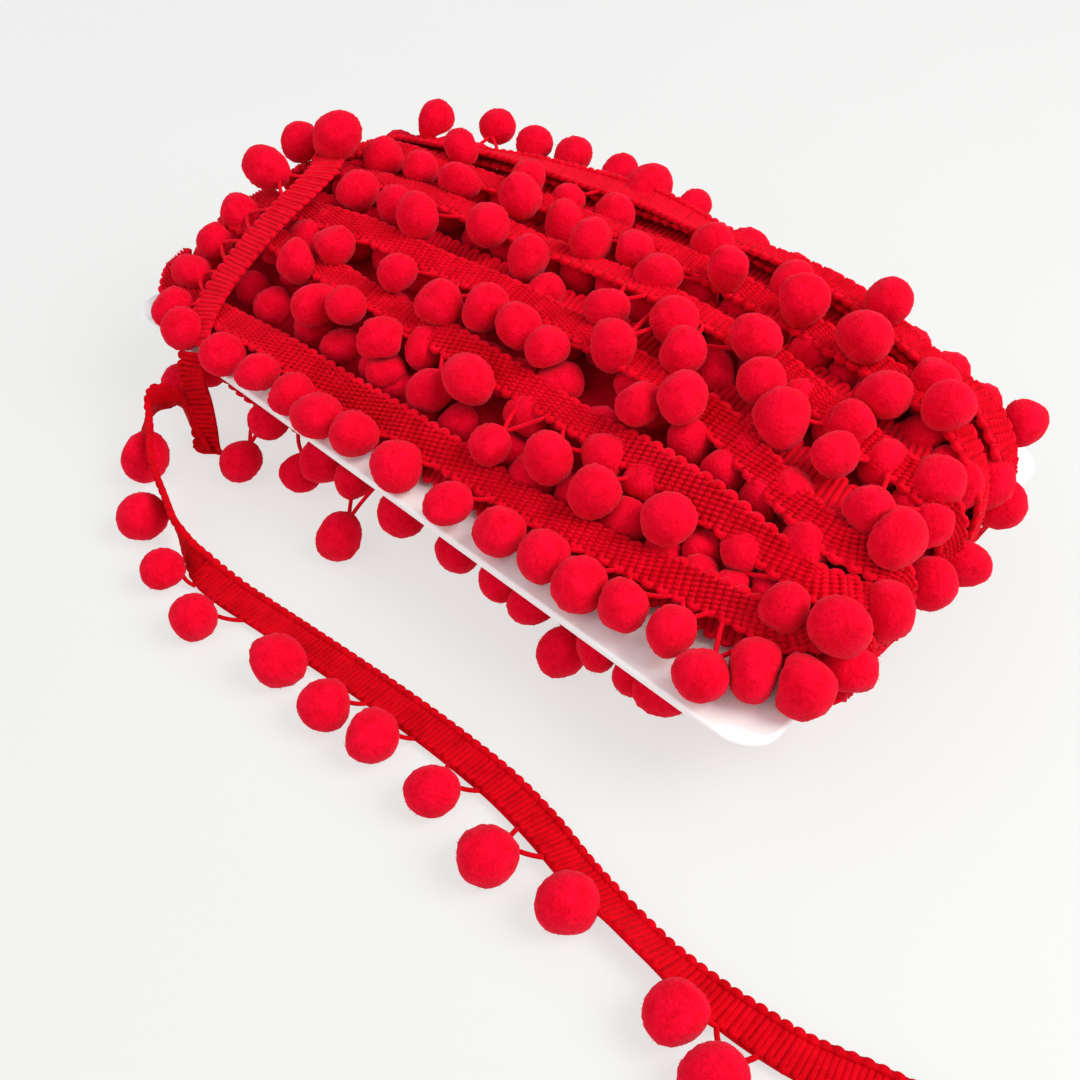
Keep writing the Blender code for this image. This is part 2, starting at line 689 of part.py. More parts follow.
def build_tail(material):
    """The loose end of the trim, with its pompoms on threads."""
    line = stop_line(LOOSE_RUN, LOOSE_STEP / 4)
    braid = Solid()
    braid.sweep(stop_line(LOOSE_HANG, LOOSE_STEP), BRAID_WIDTH, BRAID_THICKNESS)
    braid.sweep(line.thinned(LOOSE_STEP * 2, LOOSE_BEND_STEP), BRAID_WIDTH, BRAID_THICKNESS)
    balls = Solid()
    balls.hang(spot_pompoms(LOOSE_POMPOMS, line))
    tail = new_object("tail", braid, material)
    cut_or_join(tail, new_object("tail_pompoms", balls, material), "UNION")


def main():
    """Clears the scene and builds the roll."""
    for thing in list(bpy.data.objects):
        bpy.data.objects.remove(thing)
    red = new_material("red_trim", (0.62, 0.004, 0.02), 0.85)
    build_card(new_material("white_card", (0.86, 0.86, 0.83), 0.35))
    build_winding(red)
    build_tail(red)


main()
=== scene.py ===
"""Looks for a roll of pompom trim: ribbed gimp braid with felt pompoms, wound round a white card.

The wound form and the trim's routes are given in millimetres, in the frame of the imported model, and
become metres when a mesh is made. Every new surface is an array of points worked out from a formula.
"""

import logging
from dataclasses import dataclass, field
from enum import Enum
from typing import Any

import bpy
import numpy as np
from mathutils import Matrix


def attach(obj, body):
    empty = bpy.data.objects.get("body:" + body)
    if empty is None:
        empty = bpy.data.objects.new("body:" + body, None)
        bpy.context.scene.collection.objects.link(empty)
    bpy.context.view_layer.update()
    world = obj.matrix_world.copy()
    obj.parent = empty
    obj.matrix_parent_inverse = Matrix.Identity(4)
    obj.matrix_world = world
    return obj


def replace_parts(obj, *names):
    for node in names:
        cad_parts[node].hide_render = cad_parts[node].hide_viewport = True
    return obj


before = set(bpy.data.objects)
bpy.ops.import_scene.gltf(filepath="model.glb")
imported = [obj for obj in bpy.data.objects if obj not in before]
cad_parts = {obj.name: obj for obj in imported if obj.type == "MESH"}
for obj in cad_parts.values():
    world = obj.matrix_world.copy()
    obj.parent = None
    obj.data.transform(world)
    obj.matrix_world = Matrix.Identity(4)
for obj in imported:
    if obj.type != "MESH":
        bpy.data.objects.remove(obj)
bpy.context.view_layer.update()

Array = np.ndarray
Pair = tuple[float, float]
Triple = tuple[float, float, float]
Rng = np.random.Generator
Material = bpy.types.Material
log = logging.getLogger("pompom_trim")

MM = 0.001
BODY = "root"
SEED = 11
LOOKS_SEED = 23
LOWER_LOOKS = 50
POMPOM_LOOKS = 70
LOOSE_LOOKS = 90

BRAID_WIDTH = 8.0
ROOT_EDGE = 2.6
THREAD_EDGE = 3.6
SMOOTH_EDGE = 3.9
ROOT_HEIGHT = -0.9
ROOT_SUNK = 1.8
MID_HEIGHT = -0.6
POMPOM_RADIUS = 5.1
POMPOM_SPREAD = (0.92, 1.08)
POMPOM_FLATNESS = 0.92
POMPOM_PROUD = (0.2, 2.6)
PITCH_WANDER = 0.9
ON_BRAID_REACH = 5.5
ON_BRAID_SHARE = 0.9
THREAD_SHOWING = (0.4, 1.8)
UNDER_REACH = 72.0
LOWER_END = 88.0
UNDER_PITCH = 14.0
FIT_GAP = 0.3
POMPOM_FLOOR = 0.2
TABLE_CLEARANCE = 0.9
TABLE_TOUCH = 0.1
BACK_SMOOTH_TO = 12.0
FRONT_BELOW = (240.0, 425.0)
LOWER_ROOT = 3.0
TURN_POINTS = 420
LOWER_POINTS = 160
TURN_STATIONS = (-84.0, -42.0, 0.0, 42.0, 84.0)
UNDER_STATIONS = (-99.0, -66.0, -33.0, 0.0, 33.0, 66.0, 99.0)


# ---- tables


@dataclass(frozen=True)
class Rise:
    """How far the outer turns stand above and below the middle of the card at one place across it."""

    y: float
    above: float
    below: float


RISES = tuple(Rise(*row) for row in (
    (-50.0, 5.0, 5.0), (-38.0, 9.5, 10.0), (-24.0, 17.5, 17.0), (-8.0, 22.5, 20.5), (12.0, 25.0, 21.0),
    (30.0, 24.0, 20.5), (50.0, 22.0, 14.0), (58.0, 18.0, 7.0),
))


@dataclass(frozen=True)
class Turn:
    """One turn round the card, as its braid's places across it and its pompoms.

    y gives where the braid lies above the card, at TURN_STATIONS, and under where it lies below. The
    pompoms above the card are (place along X, reach to the side of the braid's middle). Those below hang
    to side_under, at the places along X that under_pompoms gives, or evenly where it gives none, and tuck
    says how far they are tucked in.
    """

    name: str
    y: tuple[float, float, float, float, float]
    under: float
    side_under: int
    pompoms: tuple[Pair, ...]
    under_pompoms: tuple[float, ...] = ()
    tuck: float = 0.0


TURNS = (
    Turn("front", (-41.0, -39.5, -40.0, -39.0, -36.0), -42.0, -1,
         ((-71, -8), (-56, -8), (-43, -9), (-33, -8), (-23, -9), (-12, -8), (1, -8), (17, -9.5), (29, -8.5),
          (40, -8.5), (49, -9.5), (58, -9.5), (68, -9.5), (77, -13.5), (83, -8)),
         (-73, -44, -26, -16, -1, 16, 29, 37, 54, 62, 68, 82), 5.0),
    Turn("second", (-19.0, -20.5, -22.0, -23.5, -26.0), -25.0, -1,
         ((-58, -5), (-45, -9), (-36, -7), (-23, -8), (-19, -1), (-1, -10), (1, -4), (15, -13), (28, -10),
          (40, -10), (55, -7), (61, 0), (70, -4), (72, -11), (81, -7))),
    Turn("third", (-10.0, -6.5, -4.0, -8.0, -17.0), -9.0, -1,
         ((-66, -8), (-54, -8), (-33, -9), (-18, -12), (-8, -9), (2, -9), (11, -10), (36, -9), (43, -5),
          (52, -9), (64, -8), (76, -6))),
    Turn("fourth", (10.0, 12.0, 14.0, 12.0, 4.0), 8.0, -1,
         ((-65, -9), (-52, -9), (-42, -12), (-26, -6), (-12, -9), (13, -12), (22, -21), (27, -7), (34, -14),
          (45, -4), (51, -9), (60, -12), (71, -10), (82, -14))),
    Turn("fifth", (24.0, 28.0, 30.0, 27.0, 22.0), 25.0, -1,
         ((-73, -7), (-60, -8), (-47, -9), (-37, 2), (-29, -8), (-17, -9), (-5, -12), (3, -7), (14, -12),
          (26, -3), (44, -1), (60, -2), (70, -9), (81, -5))),
    Turn("back", (37.0, 45.0, 48.5, 45.0, 32.0), 44.0, 1,
         ((-82, 7), (-67, 13), (-53, 9), (-42, 10), (-30, 12), (-17, 7), (-4, 7), (-60, -9), (-25, -9),
          (14, -11), (36, -10), (56, -1), (74, -7))),
)


@dataclass(frozen=True)
class Lower:
    """A turn that lies under the outer ones and shows between them.

    It lies share of the way from turn number near to the next, inset below the outer turns, above the card
    only or all the way round, its pompoms reaching to the side by reach, spacing apart, or none at 0.
    """

    near: int
    share: float
    inset: float
    reach: float
    spacing: float
    around: bool = False
    braid: bool = True


LOWERS = (
    Lower(0, 0.03, 4.2, -7.0, 0.0, around=True),
    Lower(0, 0.50, 9.5, 0.5, 10.5, braid=False),
    Lower(1, 0.55, 8.0, -3.5, 10.0, braid=False),
    Lower(2, 0.50, 5.0, -7.5, 10.5),
    Lower(3, 0.50, 4.6, -7.5, 10.5),
    Lower(4, 0.45, 5.4, -7.0, 10.0),
    Lower(4, 0.93, 5.5, 7.5, 11.5, around=True),
    Lower(4, 0.97, 11.0, 6.5, 11.0, around=True),
    Lower(4, 1.12, 2.8, 7.0, 0.0),
    Lower(4, 1.04, 10.5, 7.0, 0.0),
)


@dataclass(frozen=True)
class Stop:
    """A place on the last turn or the loose end, and the way that the braid's face looks there."""

    x: float
    y: float
    z: float
    face: Triple


UP = (0.0, 0.0, 1.0)


def stops(*rows: tuple) -> tuple[Stop, ...]:
    """Stops from rows of x, y, z and face."""
    return tuple(Stop(*row) for row in rows)


LAST_TURN = stops(
    (-98.0, 24.0, 22.0, (-1.0, 0.0, 0.0)), (-96.5, 22.0, 33.0, (-0.9, 0.0, 0.4)),
    (-90.5, 17.0, 42.5, (-0.4, 0.0, 0.9)), (-82.0, 8.5, 46.5, UP), (-75.5, 0.0, 46.5, (0.0, -0.1, 1.0)),
    (-73.0, -9.0, 45.0, (0.0, -0.25, 1.0)), (-72.0, -18.0, 42.5, (0.0, -0.4, 0.9)),
    (-71.5, -28.0, 38.0, (0.0, -0.5, 0.87)), (-71.0, -38.0, 32.5, (0.0, -0.55, 0.83)),
    (-69.0, -44.5, 29.0, (0.0, -0.7, 0.7)), (-66.5, -49.5, 25.0, (0.1, -0.9, 0.5)),
)

LOOSE_HANG = stops(
    (-66.1, -50.9, 23.2, (0.2, -0.9, 0.35)), (-65.0, -53.0, 19.0, (0.3, -0.95, 0.1)),
    (-62.6, -54.2, 13.0, (0.35, -0.93, 0.0)), (-60.6, -55.8, 6.5, (0.4, -0.92, 0.0)),
    (-59.2, -57.0, 1.6, (0.4, -0.92, -0.2)),
)

LOOSE_FOLD = stops(
    (-59.5, -56.6, 0.6, (0.0, 0.0, -1.0)),
)

LOOSE_RUN = stops(
    (-60.4, -55.6, 1.9, (0.35, 0.94, 0.0)), (-63.8, -54.8, 3.4, (0.35, 0.94, 0.0)),
    (-66.4, -54.0, 6.0, (0.3, 0.95, 0.0)), (-67.2, -54.0, 9.0, (0.2, 0.98, 0.0)),
    (-68.6, -55.0, 11.6, (0.0, 1.0, 0.0)), (-70.6, -57.0, 12.8, (-0.4, 0.9, 0.0)),
    (-72.0, -59.8, 12.9, (-1.0, 0.3, 0.1)), (-70.6, -63.0, 12.5, (-0.9, -0.4, 0.3)),
    (-67.8, -65.9, 11.6, (-0.6, -0.6, 0.5)), (-63.2, -68.8, 10.8, (-0.5, -0.7, 0.45)),
    (-57.6, -71.8, 10.3, (-0.45, -0.85, 0.2)), (-51.0, -74.6, 9.3, (-0.35, -0.94, 0.0)),
    (-44.0, -77.2, 8.4, (-0.33, -0.94, 0.0)), (-37.0, -79.8, 6.9, (-0.3, -0.95, 0.0)),
    (-30.5, -81.4, 5.1, (-0.2, -0.9, 0.4)), (-24.5, -81.6, 3.6, (0.0, -0.5, 0.87)),
    (-17.0, -80.8, 2.7, (0.0, -0.15, 1.0)), (-8.0, -79.6, 2.3, UP), (3.0, -78.6, 2.3, UP),
    (16.0, -77.5, 2.3, UP), (30.0, -76.5, 2.3, UP), (44.0, -76.0, 2.3, UP), (56.0, -76.2, 2.4, UP),
    (67.0, -77.5, 2.6, (0.0, 0.1, 1.0)), (77.0, -79.5, 3.0, (0.0, 0.25, 0.95)),
    (87.0, -80.6, 3.6, (0.0, 0.5, 0.85)), (96.0, -81.4, 3.6, (0.0, 0.5, 0.85)),
    (104.0, -81.6, 3.0, (0.0, 0.25, 0.95)), (112.0, -81.0, 2.4, UP), (121.0, -79.5, 2.3, UP),
    (130.0, -76.5, 2.3, UP), (140.0, -74.0, 2.3, UP), (150.0, -72.0, 2.3, UP),
)


@dataclass(frozen=True)
class Spot:
    """Where a listed pompom lies, and how big it is."""

    x: float
    y: float
    z: float
    radius: float = POMPOM_RADIUS


def spots(*rows: tuple[float, ...]) -> tuple[Spot, ...]:
    """Spots from rows of x, y, z and, where it isn't the usual one, the radius."""
    return tuple(Spot(*row) for row in rows)


LAST_TURN_POMPOMS = spots(
    (-80.0, -45.0, 26.6), (-84.5, -35.5, 30.0), (-87.0, -26.5, 33.5), (-87.0, -18.0, 37.5),
    (-86.5, -8.5, 46.0, 5.4), (-91.0, 6.0, 46.0), (-79.0, 8.5, 50.5, 6.4),
)

RIGHT_END_POMPOMS = spots(
    (90.0, -40.5, 27.0, 6.0), (93.5, -30.5, 24.5), (90.5, -32.5, 34.5), (93.2, -19.5, 29.8),
    (89.0, -22.0, 27.5), (88.5, -11.5, 38.0, 5.4), (94.0, -4.0, 25.0), (89.0, 1.0, 33.0),
    (86.1, 6.3, 36.9, 5.6), (95.5, 7.0, 22.5), (87.5, 15.0, 32.5, 5.6), (90.5, 23.0, 29.5, 5.6),
    (93.5, 26.0, 23.5), (89.5, 38.0, 34.5),
)

LOOSE_POMPOMS = spots(
    (-64.0, -69.6, 5.5, 5.7), (-47.8, -81.2, 5.0), (-31.0, -87.2, 4.9), (-15.0, -90.8, 4.9),
    (6.0, -86.4, 4.9), (21.0, -86.8, 4.9), (32.4, -85.6, 4.9), (48.7, -86.2, 4.9), (64.0, -88.5, 4.9),
    (80.0, -86.0, 4.9), (103.0, -88.0, 4.9), (113.0, -92.0, 4.9), (129.0, -87.5, 4.9),
    (144.0, -84.5, 4.9),
)

SLIPPED_POMPOMS = {(name, x): Spot(*place) for name, x, *place in (
    ("second", -58, -58.0, -23.4, 38.4, 5.4), ("second", -19, -19.0, -15.0, 33.0, 4.8),
    ("second", -1, -6.4, -31.1, 31.4, 4.9), ("second", 1, 2.5, -28.5, 38.0, 5.6),
    ("second", 61, 54.6, -13.6, 34.8, 5.2), ("second", 70, 67.8, -25.9, 30.1, 5.3),
    ("second", 72, 69.3, -30.6, 26.8, 5.1), ("third", -66, -68.0, -12.0, 35.0, 5.0),
    ("third", 52, 46.1, -12.2, 36.5, 4.9), ("third", 64, 63.5, -14.7, 33.5, 4.9),
    ("third", 76, 75.8, -18.7, 31.9, 5.4), ("fourth", 60, 59.3, -3.9, 43.5, 5.8),
    ("fifth", -37, -37.2, 31.9, 44.8, 5.0), ("fifth", -17, -19.7, 25.1, 42.3, 4.8),
    ("back", -25, -27.6, 35.6, 40.4, 4.8),
)}

BETWEEN_POMPOMS = spots(
    (-21.2, -30.2, 29.5, 5.0), (-16.9, -23.1, 33.8, 5.0), (14.3, -24.2, 31.9, 5.0),
    (35.3, -25.1, 33.2, 5.2), (44.0, -24.2, 32.2, 5.0), (45.4, -30.4, 28.7, 5.0),
    (60.5, -28.0, 27.7, 5.0), (14.6, -14.9, 35.3, 5.0), (38.4, 4.5, 39.0, 5.0), (68.3, 6.2, 41.3, 5.1),
    (-5.2, 3.5, 40.4, 4.6), (-14.6, 37.6, 41.6, 4.8),
)

HANGING_POMPOMS = spots(
    (-80.5, -47.5, 5.3), (-46.5, -55.5, 5.3), (-33.0, -49.0, 5.3), (-11.0, -56.5, 5.1),
    (46.2, -49.5, 7.0),
)


# ---- small vector helpers


def unit(vectors: Array) -> Array:
    """The same vectors at length one."""
    return vectors / np.maximum(np.linalg.norm(vectors, axis=-1, keepdims=True), 1e-9)


def square(vectors: Array, ahead: Array) -> Array:
    """The part of vectors that lies square to the unit vectors ahead, at length one."""
    return unit(vectors - np.sum(vectors * ahead, axis=-1, keepdims=True) * ahead)


def hermite(knots: Array, values: Array, at: Array, level: bool = False) -> Array:
    """A cubic through values at knots, its slope at each knot the mean of both sides.

    For a share t of a gap it is (1 + 2t)(1 - t)^2 a + t (1 - t)^2 slope a + t^2 (3 - 2t) b + t^2 (t - 1)
    slope b, the slopes as rises over the gap.

    Args:
        knots: Where the values are given, rising.
        values: The values there.
        at: Where to read the curve.
        level: Whether it is level at its ends and past them.

    Returns:
        The curve at each place in at.
    """
    knots, values = np.asarray(knots, float), np.asarray(values, float)
    slopes = np.gradient(values, knots)
    if level:
        slopes[[0, -1]] = 0.0
        at = np.clip(at, knots[0], knots[-1])
    i = np.clip(np.searchsorted(knots, at, side="right") - 1, 0, len(knots) - 2)
    gap = knots[i + 1] - knots[i]
    t = (at - knots[i]) / gap
    start = (1 + 2 * t) * (1 - t) ** 2 * values[i] + t * (1 - t) ** 2 * slopes[i] * gap
    return start + t * t * (3 - 2 * t) * values[i + 1] + t * t * (t - 1) * slopes[i + 1] * gap


def wander(at: Array, size: float, step: float, rng: Rng) -> Array:
    """A smooth random wander: random values every step, joined by a cubic.

    Args:
        at: Where to read it, in millimetres.
        size: About how far it strays.
        step: How far apart the random values lie.
        rng: The source of the values.

    Returns:
        The wander at each place in at.
    """
    knots = np.arange(float(np.min(at)) - step, float(np.max(at)) + 2 * step, step)
    return size * hermite(knots, rng.uniform(-1.0, 1.0, len(knots)), np.asarray(at, float))


# ---- meshes


def placed(name: str, data: bpy.types.ID) -> bpy.types.Object:
    """A new object of some data, put in the scene at the origin.

    Args:
        name: The object's name.
        data: Its mesh, light or camera.

    Returns:
        The object.
    """
    thing = bpy.data.objects.new(name, data)
    bpy.context.scene.collection.objects.link(thing)
    return thing


def skin(grid: Array) -> Array:
    """Four-sided faces between neighbouring rows of point numbers, each row closed on itself.

    Args:
        grid: The point numbers, by row and by place round it.

    Returns:
        A row of four numbers for each face.
    """
    beside = np.roll(grid, -1, axis=-1)
    corners = (grid[..., :-1, :], beside[..., :-1, :], beside[..., 1:, :], grid[..., 1:, :])
    return np.stack(corners, axis=-1).reshape(-1, 4)


@dataclass
class Surfaces:
    """Closed surfaces gathered for one mesh, in millimetres."""

    points: list[Array] = field(default_factory=list)
    faces: list[Array] = field(default_factory=list)
    count: int = 0

    def add(self, points: Array, faces: list[Array]) -> None:
        """Adds points and the faces between them.

        Args:
            points: Rows of x, y and z.
            faces: Arrays of rows of point numbers, one array for each number of sides.
        """
        flat = points.reshape(-1, 3)
        self.points.append(flat)
        self.faces.extend(table + self.count for table in faces if len(table))
        self.count += len(flat)

    def tubes(self, centres: Array, radii: Array, facing: Array, sides: int, squash: float = 1.0,
              course: Array | None = None) -> None:
        """Adds round bars: each point is centre + radius (cos a) side + radius (sin a) facing.

        Args:
            centres: Middle points, by bar and by place along it.
            radii: The radius at each middle point.
            facing: A way square to the bar at each middle point, where angle a is a quarter turn.
            sides: How many points go round.
            squash: How thick the bar is along facing, as a share of its width.
            course: The path that the rings stand square to, or None for the middle points themselves.
        """
        ahead = unit(np.gradient(centres if course is None else course, axis=1))
        up = square(facing, ahead)
        side = np.cross(up, ahead)
        a = np.linspace(0.0, 2 * np.pi, sides, endpoint=False)
        rings = np.cos(a)[:, None] * side[..., None, :] + squash * np.sin(a)[:, None] * up[..., None, :]
        self.bars(centres[..., None, :] + radii[..., None, None] * rings)

    def bars(self, rings: Array) -> None:
        """Adds bars through closed rings, capped at both ends.

        Args:
            rings: Points by bar, by ring and by place round it.
        """
        index = np.arange(rings.size // 3).reshape(rings.shape[:3])
        self.add(rings, [skin(index), index[:, 0, ::-1], index[:, -1]])

    def band(self, rings: Array) -> None:
        """Adds one bar through closed rings, turned over if they run clockwise seen from the last one.

        The sum of their areas times the steps between their middles tells.

        Args:
            rings: Points by ring and by place round it.
        """
        middles = rings.mean(axis=1)
        spokes = rings - middles[:, None]
        areas = np.sum(np.cross(spokes, np.roll(spokes, -1, axis=1)), axis=1)
        if np.sum(areas[:-1] * np.diff(middles, axis=0)) < 0.0:
            rings = rings[:, ::-1]
        self.bars(rings[None])

    def balls(self, points: Array, rows: int, around: int) -> None:
        """Adds balls, each given as its first pole, then rows of points around it, then its other pole.

        Args:
            points: Points by ball, in that order.
            rows: How many rows lie between the poles.
            around: How many points each row has.
        """
        first = np.arange(len(points))[:, None] * (rows * around + 2)
        grid = (np.arange(rows * around).reshape(rows, around) + 1)[None] + first[..., None]
        beside = np.roll(grid, -1, axis=2)
        poles = np.broadcast_arrays(first, first + rows * around + 1, grid[:, 0])
        near = np.stack([poles[0], grid[:, 0], beside[:, 0]], axis=-1)
        far = np.stack([grid[:, -1], poles[1], beside[:, -1]], axis=-1)
        self.add(points, [skin(grid)[:, [0, 3, 2, 1]], near.reshape(-1, 3), far.reshape(-1, 3)])

    def needles(self, roots: Array, tips: Array, width: float) -> None:
        """Adds fine three-sided fibres, each a closed spike from its root to its tip.

        Args:
            roots: The middle of each root.
            tips: The tip of each fibre.
            width: How wide each fibre is at its root.
        """
        ahead = unit(tips - roots)
        side = unit(np.cross(ahead, (0.31, 0.47, 0.83)))
        up = np.cross(ahead, side)
        a = np.arange(3) * 2 * np.pi / 3
        spokes = np.cos(a)[:, None] * side[:, None] + np.sin(a)[:, None] * up[:, None]
        points = np.concatenate([roots[:, None] + width / 2 * spokes, tips[:, None]], axis=1)
        index = np.arange(len(roots) * 4).reshape(-1, 4)
        self.add(points, [index[:, corners] for corners in ([0, 1, 3], [1, 2, 3], [2, 0, 3], [2, 1, 0])])

    def piece(self, name: str, material: Material, slot: str) -> bpy.types.Object:
        """Makes the gathered surfaces one object that rides on the body.

        Args:
            name: The piece's name.
            material: Its material.
            slot: The material slot of the record that it stands for; not used.

        Returns:
            The object, at the origin, in metres.
        """
        mesh = bpy.data.meshes.new(name)
        points = np.concatenate(self.points) * MM
        points[:, 2] = np.maximum(points[:, 2], TABLE_TOUCH * MM)
        corners = np.concatenate([table.ravel() for table in self.faces])
        sides = np.concatenate([np.full(len(table), table.shape[1]) for table in self.faces])
        mesh.vertices.add(len(points))
        mesh.vertices.foreach_set("co", points.ravel())
        mesh.loops.add(len(corners))
        mesh.loops.foreach_set("vertex_index", corners.astype(np.int32))
        mesh.polygons.add(len(sides))
        mesh.polygons.foreach_set("loop_start", (np.cumsum(sides) - sides).astype(np.int32))
        mesh.update(calc_edges=True)
        mesh.shade_smooth()
        mesh.materials.append(material)
        thing = placed(name, mesh)
        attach(thing, BODY)
        log.info("%s: %d points, %d faces", name, len(points), len(sides))
        return thing


# ---- routes


@dataclass(frozen=True)
class Route:
    """A braid's route: the middle of its outer face, the way across it and the way out of its face."""

    points: Array
    across: Array
    out: Array

    def along(self) -> Array:
        """How far along the route each point lies."""
        steps = np.linalg.norm(np.diff(self.points, axis=0), axis=1)
        return np.concatenate([[0.0], np.cumsum(steps)])

    def length(self) -> float:
        """The route's length."""
        return float(self.along()[-1])

    def part(self, low: float, high: float) -> "Route":
        """The stretch between two lengths along the route."""
        keep = (self.along() >= low) & (self.along() <= high)
        return Route(self.points[keep], self.across[keep], self.out[keep])

    def place(self, s: Array, v: Array | float, h: Array | float) -> Array:
        """Points on the braid: route at s + v times the way across + h times the way out.

        Args:
            s: Lengths along the route.
            v: Distances across from its middle.
            h: Heights above its outer face.

        Returns:
            Rows of x, y and z in the shape of s, none of them below TABLE_CLEARANCE.
        """
        along = self.along()
        points, across, out = (np.stack([np.interp(s, along, table[:, k]) for k in range(3)], axis=-1)
                               for table in (self.points, self.across, self.out))
        points = points + np.asarray(v)[..., None] * unit(across) + np.asarray(h)[..., None] * unit(out)
        points[..., 2] = np.maximum(points[..., 2], TABLE_CLEARANCE)
        return points

    def nearest(self, places: Array, v: float) -> Array:
        """The lengths along the route where its edge at v comes nearest to each place."""
        apart = np.linalg.norm(self.points + self.across * v - places[:, None], axis=2)
        return self.along()[np.argmin(apart, axis=1)]

    @staticmethod
    def through(stops: tuple[Stop, ...], step: float) -> "Route":
        """A smooth route through given stops, its braid turned to face the way each one says.

        Args:
            stops: The places, in order.
            step: How far apart the route's points lie.

        Returns:
            The route, its way across being ahead crossed with out.
        """
        places = np.array([(stop.x, stop.y, stop.z) for stop in stops])
        faces = unit(np.array([stop.face for stop in stops], float))
        chord = Route(places, places, places).along()
        at = np.linspace(0.0, chord[-1], int(round(chord[-1] / step)) + 1)
        points = np.stack([hermite(chord, places[:, k], at) for k in range(3)], axis=1)
        ahead = unit(np.gradient(points, axis=0))
        out = square(np.stack([np.interp(at, chord, faces[:, k]) for k in range(3)], axis=1), ahead)
        return Route(points, np.cross(ahead, out), out)


@dataclass(frozen=True)
class WoundForm:
    """The flattened loop that the turns lie on, whose height changes across the card.

    A point of it is x = middle + half length |cos a|^(2/n), z = middle + rise(y) |sin a|^(2/n), with n
    the squareness above or below the card.
    """

    middle_x: float = -2.5
    middle_z: float = 20.0
    half_length: float = 97.2
    square_above: float = 4.5
    square_below: float = 2.6
    end_inset: float = 0.35
    pull: float = 0.22
    pull_from: float = 82.0
    crowding: float = 2.25

    def rise(self, y: Array) -> tuple[Array, Array]:
        """The heights above and below the card's middle, read from RISES by straight lines."""
        places, above, below = np.array([(row.y, row.above, row.below) for row in RISES]).T
        return np.interp(y, places, above), np.interp(y, places, below)

    def xz(self, angle: Array, y: Array, inset: Array | float) -> tuple[Array, Array]:
        """A point of the loop at an angle from +X, moved inwards above and below.

        Args:
            angle: The angle from +X.
            y: The place across the card.
            inset: How far below the outer turns it lies.

        Returns:
            x and z.
        """
        above, below = self.rise(y)
        up = np.sin(angle) >= 0
        power = 2.0 / np.where(up, self.square_above, self.square_below)
        x, z = (np.sign(part) * np.abs(part) ** power for part in (np.cos(angle), np.sin(angle)))
        x = x * (self.half_length - inset * self.end_inset)
        z = z * (np.where(up, above, below) - inset)
        return self.middle_x + x, self.middle_z + z

    def top_z(self, x: Array, y: Array) -> Array:
        """The height of the wound form's outer face above the card."""
        share = 1.0 - np.minimum(np.abs(x - self.middle_x) / self.half_length, 1.0) ** self.square_above
        return self.middle_z + self.rise(y)[0] * share ** (1.0 / self.square_above)

    def end_pull(self, x: Array) -> Array:
        """How much of its place across the card a turn keeps, as it closes in round the card's ends.

        Args:
            x: The place along the card.

        Returns:
            The share that it keeps.
        """
        past = np.abs(x - self.middle_x) - self.pull_from
        t = np.clip(past / (self.half_length - self.pull_from), 0.0, 1.0)
        return 1.0 - self.pull * t * t * (3 - 2 * t)

    def turn_y(self, turn: Turn, x: Array) -> Array:
        """Where a turn's braid lies above the card."""
        return hermite(TURN_STATIONS, turn.y, x, level=True) * self.end_pull(x)

    def angles(self, count: int) -> Array:
        """Angles from pi down to -pi, count to a quarter, that space the points of the loop about evenly.

        Each quarter's are a quarter turn times u^p / (u^p + (1 - u)^p).

        Args:
            count: How many points each quarter has.

        Returns:
            The angles.
        """
        u = np.linspace(0.0, 1.0, count, endpoint=False)
        quarter = u**self.crowding / (u**self.crowding + (1.0 - u) ** self.crowding)
        turned = np.concatenate([quarter + k for k in range(4)] + [np.array([4.0])])
        return np.pi - turned * np.pi / 2

    def route(self, angle: Array, y: Array, inset: float = 0.0) -> Route:
        """A route on the wound form at angles and places across it, inset below the outer turns.

        Its way across points to the far side above the card, from the form 1 mm to each side.

        Args:
            angle: The angles.
            y: The place across the card at each angle.
            inset: How far below the outer turns it lies.

        Returns:
            The route.
        """

        def laid(y: Array) -> Array:
            """The form's points at the angles and these places across it."""
            x, z = self.xz(angle, y, inset)
            return np.stack([x, y, z], axis=1)

        points = laid(y)
        ahead = unit(np.gradient(points, axis=0))
        across = square(laid(y + 1.0) - laid(y - 1.0), ahead)
        return Route(points, across, np.cross(ahead, across))

    def turn(self, index: int) -> Route:
        """The middle of one turn's outer face: over the top to the right, and back underneath.

        Args:
            index: The turn's number.

        Returns:
            Its route.
        """
        turn = TURNS[index]
        following = TURNS[min(index + 1, len(TURNS) - 1)]
        angle = self.angles(TURN_POINTS)
        x = self.xz(angle, 0.0 * angle, 0.0)[0]
        below = (following.y[0],) + (turn.under,) * (len(UNDER_STATIONS) - 2) + (turn.y[-1],)
        under = hermite(UNDER_STATIONS, below, x, level=True) * self.end_pull(x)
        return self.route(angle, np.where(np.sin(angle) >= 0, self.turn_y(turn, x), under))


# ---- finishes


